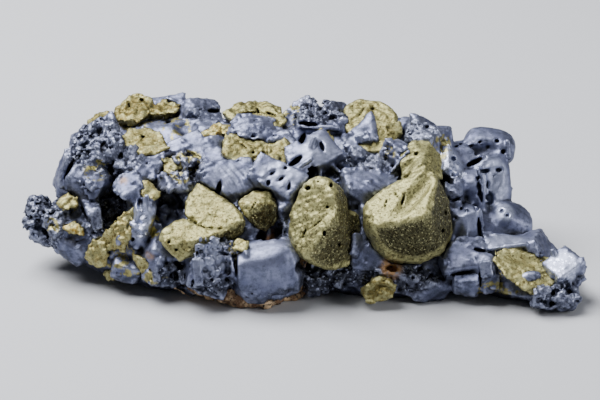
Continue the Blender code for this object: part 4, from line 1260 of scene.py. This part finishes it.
# Holes, pits and cracks in the chalcopyrite: crystal, place in the view, half size, depth and lean
CHALCOPYRITE_HOLES = [
    ("big_centre", "top hole, left", (2.2, 3.2), (0.75, 0.6), 2.6, 12),
    ("big_centre", "top hole, right", (8.4, 4.0), (0.55, 0.7), 2.6, 0),
    ("big_centre", "small top hole", (4.9, 4.9), (0.3, 0.3), 1.2, 0),
    ("big_centre", "crack, low", (1.2, -9.0), (0.22, 1.8), 1.6, -22),
    ("big_centre", "crack, high", (4.4, -6.6), (0.22, 2.6), 1.4, -52),
    ("big_centre", "notch in the edge", (7.4, -1.9), (0.5, 0.5), 1.6, 0),
    ("big_centre", "pit in the dark face, 1", (6.6, -9.0), (0.5, 0.8), 1.4, 0),
    ("big_centre", "pit in the dark face, 2", (10.6, -12.0), (0.4, 0.6), 1.4, 20),
    ("big_right", "fissure beside the scar", (27.9, 0.2), (0.35, 1.9), 1.6, -18),
    ("big_right", "crack in the lit face", (23.2, -1.0), (0.16, 2.4), 0.9, -16),
    ("big_right", "short crack", (26.0, 1.4), (0.15, 1.6), 0.8, 24),
    ("big_right", "pit high on the ridge", (31.4, 12.4), (0.6, 0.9), 1.6, -20),
    ("big_right", "sparkling pit, 1", (38.4, -8.2), (0.5, 0.7), 1.4, 0),
    ("big_right", "sparkling pit, 2", (39.2, -3.4), (0.45, 0.6), 1.4, 0),
    ("left_pair", "crack between the crystals", (-28.6, -6.2), (0.2, 3.0), 1.6, 62),
    ("left_pair", "crack along the band", (-23.4, -7.7), (0.16, 3.4), 1.2, 88),
    ("left_pair", "pit, 1", (-35.4, -11.4), (0.4, 0.5), 1.2, 0),
    ("left_pair", "pit, 2", (-33.4, -13.4), (0.5, 0.4), 1.2, 0),
    ("heart", "split", (-12.2, -1.0), (0.2, 2.6), 1.2, -30),
    ("back_dome", "fracture, level", (-14.0, 23.4), (3.4, 0.25), 2.0, 8),
    ("back_dome", "fracture, upright", (-11.4, 24.2), (0.25, 1.6), 2.0, 20),
    ("back_dome", "fracture, right", (-8.0, 23.2), (1.8, 0.25), 1.8, -18),
    ("upper_pair", "seam", (-15.0, 14.4), (0.2, 2.6), 1.2, 50),
    ("upper_pair", "hole", (-12.6, 12.8), (0.5, 0.4), 1.4, 0),
    ("top_right", "seam over the patch", (16.4, 23.4), (0.2, 2.2), 1.4, -34),
    ("top_right", "pit", (19.6, 24.6), (0.5, 0.5), 1.2, 0),
    ("top_left", "fracture", (-46.2, 25.6), (0.25, 2.4), 1.8, 24),
    ("top_left", "pit", (-42.8, 27.0), (0.6, 0.5), 1.2, 0),
    ("upper_plate", "pit", (-42.4, 17.0), (0.6, 0.4), 1.2, 0),
]

# How a crystal's faces are: grain in millimetres, share of its surface in pits, how broken it is,
# brassy stain, and how far it is darkened by tarnish, which on the low centre crystal is partly painted shade
CRYSTAL_LOOKS = {
    "big_right": (0.10, 0.36, 0.12, 0.05, 0.20),
    "big_centre": (0.13, 0.40, 0.08, 0.08, 0.00),
    "left_pair": (0.12, 0.30, 0.14, 0.12, 0.40),
    "heart": (0.14, 0.34, 0.18, 0.15, 0.35),
    "back_dome": (0.20, 0.50, 0.60, 0.15, 0.60),
    "back_strip": (0.20, 0.50, 0.60, 0.75, 0.30),
    "left_crust": (0.26, 0.70, 0.90, 0.30, 0.35),
    "left_yellow": (0.18, 0.45, 0.60, 0.80, 0.30),
    "left_speckled": (0.20, 0.60, 0.60, 0.30, 0.30),
    "top_left": (0.22, 0.50, 0.60, 0.25, 0.95),
    "upper_plate": (0.16, 0.38, 0.24, 0.15, 0.90),
    "upper_pair": (0.14, 0.38, 0.20, 0.15, 0.68),
    "top_right": (0.14, 0.36, 0.28, 0.15, 0.50),
    "arm_plate": (0.16, 0.50, 0.28, 0.20, 0.05),
    # The low centre crystal lies in the big crystal's shade: its darkening is partly painted shade
    "low_centre": (0.26, 0.80, 0.80, 0.20, 1.00),
}
PLAIN_LOOK = (0.16, 0.45, 0.60, 0.25, 0.35)

# Where the light comes from, and how far a face may look that way and still be pitted and get painted shade
TO_KEY = (-0.38, 0.02, 0.92)
PITTED_AND_SHADED_BELOW = 0.38

# How sharply the pits and their painted shade begin, on a face turned from the light and at the rim of a
# pitted face
PITTED_AND_SHADED_FADE = 6.0
PITTED_RIM = 4.0

# Sizes of the chalcopyrite's relief, in millimetres, and how far from the surface it is worked out
FACE_SWELL = 5.0
CHIP_SIZE = 3.2
PIT_CLUSTER = 3.0
LUMP_SIZE = 1.4
PIT_SIZE = 1.1
GRAIN_SIZE = 0.75
PITTED_BAND = 1.5

# Crystals with pitted faces on their shaded side, which also get painted shade: crystal, place in the view,
# reach across, deep and up
PITTED_FACES = [
    ("big_right", (31.5, -8.5), (10.5, 14, 9)),
    ("big_right", (38.6, -3.0), (4, 12, 9)),
    ("big_centre", (10.0, -8.0), (9, 14, 12)),
    ("big_centre", (14.0, -8.0), (5, 8, 9)),
    ("left_pair", (-18.5, -8.0), (6, 8, 5)),
    ("heart", (-9.0, -4.0), (5, 8, 5)),
]


def crystal_field(name, settings):
    """One chalcopyrite crystal, or several grown together: grain, pits, holes and cracks."""
    node_name = "chalcopyrite_" + name
    grain, pits, broken, _, _ = CRYSTAL_LOOKS.get(name, PLAIN_LOOK)
    field = solid_field(node_name, settings.chalcopyrite_step)
    field.values -= SEAM_FILL
    slopes = np.gradient(field.values, field.step)
    lit = sum(slope * share for slope, share in zip(slopes, TO_KEY))
    zones = []
    for crystal, place, reach in PITTED_FACES:
        if crystal == name:
            zones.append((landed(*place, node_name)[0], reach, PITTED_RIM))
    # The faces turned from the light are pitted, and the same value lays painted shade on them in the colour
    pitted = np.clip(field.weight(zones), 0, 1) * np.clip((PITTED_AND_SHADED_BELOW - lit) * PITTED_AND_SHADED_FADE, 0, 1)
    seed = sum(map(ord, name))
    band = np.abs(field.values) < PITTED_BAND
    cores, _ = field.cells(PIT_SIZE, seed, band, "round")
    chips, height = field.cells(CHIP_SIZE, seed + 1, band, "cube")
    field.values += broken * (0.9 * (chips - 0.36) + 0.8 * (height - 0.5))
    field.values += 0.14 * field.noise(FACE_SWELL, seed + 2) + grain * 1.2 * field.noise(LUMP_SIZE, seed + 3)
    field.values += grain * field.noise(GRAIN_SIZE, seed + 4)
    depth = np.clip(pits + 1.3 * pitted - 0.45 - 0.5 * field.noise(PIT_CLUSTER, seed + 5), 0, 1)
    field.values += 0.70 * depth * np.clip(0.50 - cores, 0, 1)
    add_grooves(field, node_name)
    cut_scoops(field, node_name)
    for crystal, _, place, half, deep, lean in CHALCOPYRITE_HOLES:
        if crystal == name:
            cut_hole(field, node_name, place, half, deep, lean, CHALCOPYRITE_LIP)
    return field, pitted


# Sizes of the rock's relief, in millimetres, and how far from the surface it is worked out
ROCK_SWELL = 4.0
ROCK_LUMP = 2.8
ROCK_GRAIN = 1.2
ROCK_BAND = 2.0


def rock_field(settings):
    """The rim of host rock: ragged, lumpy and grainy."""
    field = solid_field("rock_rim", settings.rock_step)
    band = np.abs(field.values) < ROCK_BAND
    lumps, height = field.cells(ROCK_LUMP, 41, band, "cube")
    field.values += 1.2 * (lumps - 0.40) + 1.9 * (height - 0.5) + 0.8 * field.noise(ROCK_SWELL, 42)
    field.values += 0.40 * field.noise(ROCK_GRAIN, 43)
    return field


# From fields to pieces


# How far the forms stay above the floor, in millimetres
FLOOR_GAP = 0.03


def rest_on_floor(field):
    """Keep the form off the floor by a hair."""
    heights = field.axis(2)
    field.values = np.maximum(field.values, FLOOR_GAP - heights[None, None, :])


def vertex_directions(points, faces):
    """The direction that the surface faces at each of its points."""
    corners = points[faces]
    normals = np.cross(corners[:, 2] - corners[:, 0], corners[:, 3] - corners[:, 1])
    total = np.zeros(points.shape)
    for which in range(4):
        for axis in range(3):
            total[:, axis] += np.bincount(faces[:, which], normals[:, axis], len(points))
    return total / np.maximum(np.linalg.norm(total, axis=1), 1e-9)[:, None]


def pieces_from(field, name, node_name, surface, values, cuts=()):
    """Mesh a field as closed pieces between its cuts, with what its material reads stored on them."""
    whole = Surface(field)
    # How crowded with stone the space round each point is, for painted shade in hollows and painted
    # highlights on edges
    values = {"hollow": field.crowding(CROWDING_REACH), **values}
    planes = [0, *[round((x - field.low[0]) / field.step) for x in cuts], field.count[0]]
    for which, (first, last) in enumerate(zip(planes, planes[1:])):
        points, faces, directions, on_cut = whole.stretch(first, last)
        attributes = {label: field.sample(grid, points) for label, grid in values.items()}
        # Painted shade on faces that look down; only the galena's colour reads it
        attributes["under"] = np.clip(UNDER_FROM - directions[:, 2], 0, 1)
        label = name if len(planes) == 2 else f"{name}_{which + 1}"
        piece = mesh_object(label, points, faces, directions, on_cut, attributes)
        piece.data.materials.append(surface)
        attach(piece, "root")
        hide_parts(node_name)


def colour_setting(label, description, code):
    """A colour that a user may change, from its sRGB hex code."""
    return bpy.props.FloatVectorProperty(
        name=label, description=description, default=linear(code), size=4, subtype="COLOR", min=0.0, max=1.0
    )


def step_setting(label, description, default):
    """A grid step that a user may change, in millimetres."""
    return bpy.props.FloatProperty(name=label, description=description, default=default, min=0.2)


class SpecimenSettings(bpy.types.PropertyGroup):
    """How finely the specimen is modelled, and its main colours."""

    seed: bpy.props.IntProperty(
        name="Seed", description="Chooses where the small crystals grow", default=7, min=0
    )
    galena_step: step_setting("Galena step", "Grid step of the galena in millimetres", 0.45)
    chalcopyrite_step: step_setting("Chalcopyrite step", "Grid step of the chalcopyrite in millimetres", 0.36)
    rock_step: step_setting("Rock step", "Grid step of the host rock in millimetres", 0.5)
    galena_colour: colour_setting("Galena", "Colour of the etched galena", "#646985")
    chalcopyrite_colour: colour_setting("Chalcopyrite", "Colour of the palest chalcopyrite", "#b9b680")
    rock_colour: colour_setting("Host rock", "Colour of the palest host rock", "#e6c59a")


class StageSettings(bpy.types.PropertyGroup):
    """How the specimen is lit, and the floor under it."""

    floor_colour: colour_setting("Floor", "Colour of the floor", "#bdbfc5")
    room_colour: colour_setting("Room", "Colour of the even light from all round", "#dfe3ea")
    key_power: bpy.props.FloatProperty(
        name="Key light", description="Power of the large soft light", default=18.0, min=0.0, unit="POWER"
    )
    side_power: bpy.props.FloatProperty(
        name="Side light", description="Power of the light from the right", default=3.0, min=0.0, unit="POWER"
    )
    room_strength: bpy.props.FloatProperty(
        name="Room light", description="Strength of the even light from all round", default=0.12, min=0.0
    )


class SPECIMEN_OT_galena(bpy.types.Operator):
    """Build the etched galena mass"""

    bl_idname = "specimen.galena"
    bl_label = "Galena"

    def execute(self, context):
        settings = context.scene.specimen
        field, rough = galena_field(settings)
        rest_on_floor(field)
        values = {
            # Paler fresh cleavage, with a painted highlight
            "silver": field.weight(zones_at(SILVER_AND_SHEEN)),
            "rust": field.weight(zones_at(RUSTY)),
            "rough": rough,
            "film": field.weight(zones_at(FILMED)),
            # Where shade is painted on the galena
            "coat": field.weight(zones_at(PAINTED_SHADE_ZONES)),
        }
        surface = galena_material(settings.galena_colour)
        pieces_from(field, "galena", "galena_mass", surface, values, GALENA_CUTS)
        return {"FINISHED"}


class SPECIMEN_OT_chalcopyrite(bpy.types.Operator):
    """Build the chalcopyrite crystals"""

    bl_idname = "specimen.chalcopyrite"
    bl_label = "Chalcopyrite"

    def execute(self, context):
        settings = context.scene.specimen
        surface = chalcopyrite_material(settings.chalcopyrite_colour)
        for node_name in sorted(TREES):
            if not node_name.startswith("chalcopyrite_"):
                continue
            name = node_name.removeprefix("chalcopyrite_")
            field, pitted = crystal_field(name, settings)
            rest_on_floor(field)
            *_, brassy, tarnish = CRYSTAL_LOOKS.get(name, PLAIN_LOOK)
            values = {
                "brassy": np.full_like(field.values, brassy),
                # Tarnish, partly painted shade on the low centre crystal
                "tarnish": np.full_like(field.values, tarnish),
                # Pits, and painted shade, on the faces turned from the light
                "pitted": pitted,
            }
            pieces_from(field, name, node_name, surface, values)
        return {"FINISHED"}


class SPECIMEN_OT_rock(bpy.types.Operator):
    """Build the rim of host rock"""

    bl_idname = "specimen.rock"
    bl_label = "Host rock"

    def execute(self, context):
        settings = context.scene.specimen
        field = rock_field(settings)
        rest_on_floor(field)
        pieces_from(field, "host_rock", "rock_rim", rock_material(settings.rock_colour), {})
        return {"FINISHED"}


# The stage, in metres
FLOOR_SIZE = 6.0
KEY_PLACE = (-0.32, 0.12, 0.70)
KEY_SIZE = (0.62, 0.55)
KEY_TARGET = (0.0, 0.0, 0.01)
SIDE_PLACE = (0.70, -0.25, 0.30)
SIDE_SIZE = (0.35, 0.35)
SIDE_TARGET = (0.0, 0.0, 0.02)


def floor_material(base):
    """Matt pale card, which throws soft light back up with no highlight of its own."""
    return finished(new_material("pale floor"), [], Base_Color=base, Roughness=0.9)


def area_light(name, place, size, power, target):
    """A soft oblong light that faces its target."""
    light = bpy.data.lights.new(name, "AREA")
    light.shape = "RECTANGLE"
    light.size, light.size_y = size
    light.energy = power
    lamp = bpy.data.objects.new(name, light)
    lamp.location = place
    lamp.rotation_euler = (Vector(target) - Vector(place)).to_track_quat("-Z", "Y").to_euler()
    bpy.context.scene.collection.objects.link(lamp)


class SPECIMEN_OT_stage(bpy.types.Operator):
    """Set up the floor, the light and the camera"""

    bl_idname = "specimen.stage"
    bl_label = "Stage"

    def execute(self, context):
        settings = context.scene.specimen_stage
        bpy.ops.mesh.primitive_plane_add(size=FLOOR_SIZE)
        floor = context.object
        floor.name = "floor"
        floor.data.materials.append(floor_material(settings.floor_colour))

        world = bpy.data.worlds.new("soft room")
        world.use_nodes = True
        background = world.node_tree.nodes["Background"]
        background.inputs["Color"].default_value = settings.room_colour
        background.inputs["Strength"].default_value = settings.room_strength
        context.scene.world = world
        area_light("key", KEY_PLACE, KEY_SIZE, settings.key_power, KEY_TARGET)
        area_light("side", SIDE_PLACE, SIDE_SIZE, settings.side_power, SIDE_TARGET)

        camera = bpy.data.cameras.new("camera")
        camera.lens = camera.sensor_width * VIEW_DISTANCE / VIEW_WIDTH
        camera.clip_start = 0.01
        holder = bpy.data.objects.new("camera", camera)
        holder.location = EYE * MM
        holder.rotation_euler = (math.pi / 2 - VIEW_ELEVATION, 0.0, 0.0)
        context.scene.collection.objects.link(holder)
        context.scene.camera = holder
        return {"FINISHED"}


class SPECIMEN_PT_panel(bpy.types.Panel):
    """The specimen's settings and steps"""

    bl_label = "Specimen"
    bl_idname = "SPECIMEN_PT_panel"
    bl_space_type = "VIEW_3D"
    bl_region_type = "UI"
    bl_category = "Specimen"

    def draw(self, context):
        groups = (context.scene.specimen, context.scene.specimen_stage)
        for settings in groups:
            for label in type(settings).__annotations__:
                self.layout.prop(settings, label)
        for step in STEPS:
            self.layout.operator(step.bl_idname)


STEPS = (SPECIMEN_OT_galena, SPECIMEN_OT_chalcopyrite, SPECIMEN_OT_rock, SPECIMEN_OT_stage)
CLASSES = (SpecimenSettings, StageSettings, *STEPS, SPECIMEN_PT_panel)


def register():
    for entry in CLASSES:
        bpy.utils.register_class(entry)
    bpy.types.Scene.specimen = bpy.props.PointerProperty(type=SpecimenSettings)
    bpy.types.Scene.specimen_stage = bpy.props.PointerProperty(type=StageSettings)


def unregister():
    del bpy.types.Scene.specimen_stage
    del bpy.types.Scene.specimen
    for entry in reversed(CLASSES):
        bpy.utils.unregister_class(entry)


def main():
    register()
    bpy.ops.specimen.galena()
    bpy.ops.specimen.chalcopyrite()
    bpy.ops.specimen.rock()
    bpy.ops.specimen.stage()


if __name__ == "__main__":
    main()
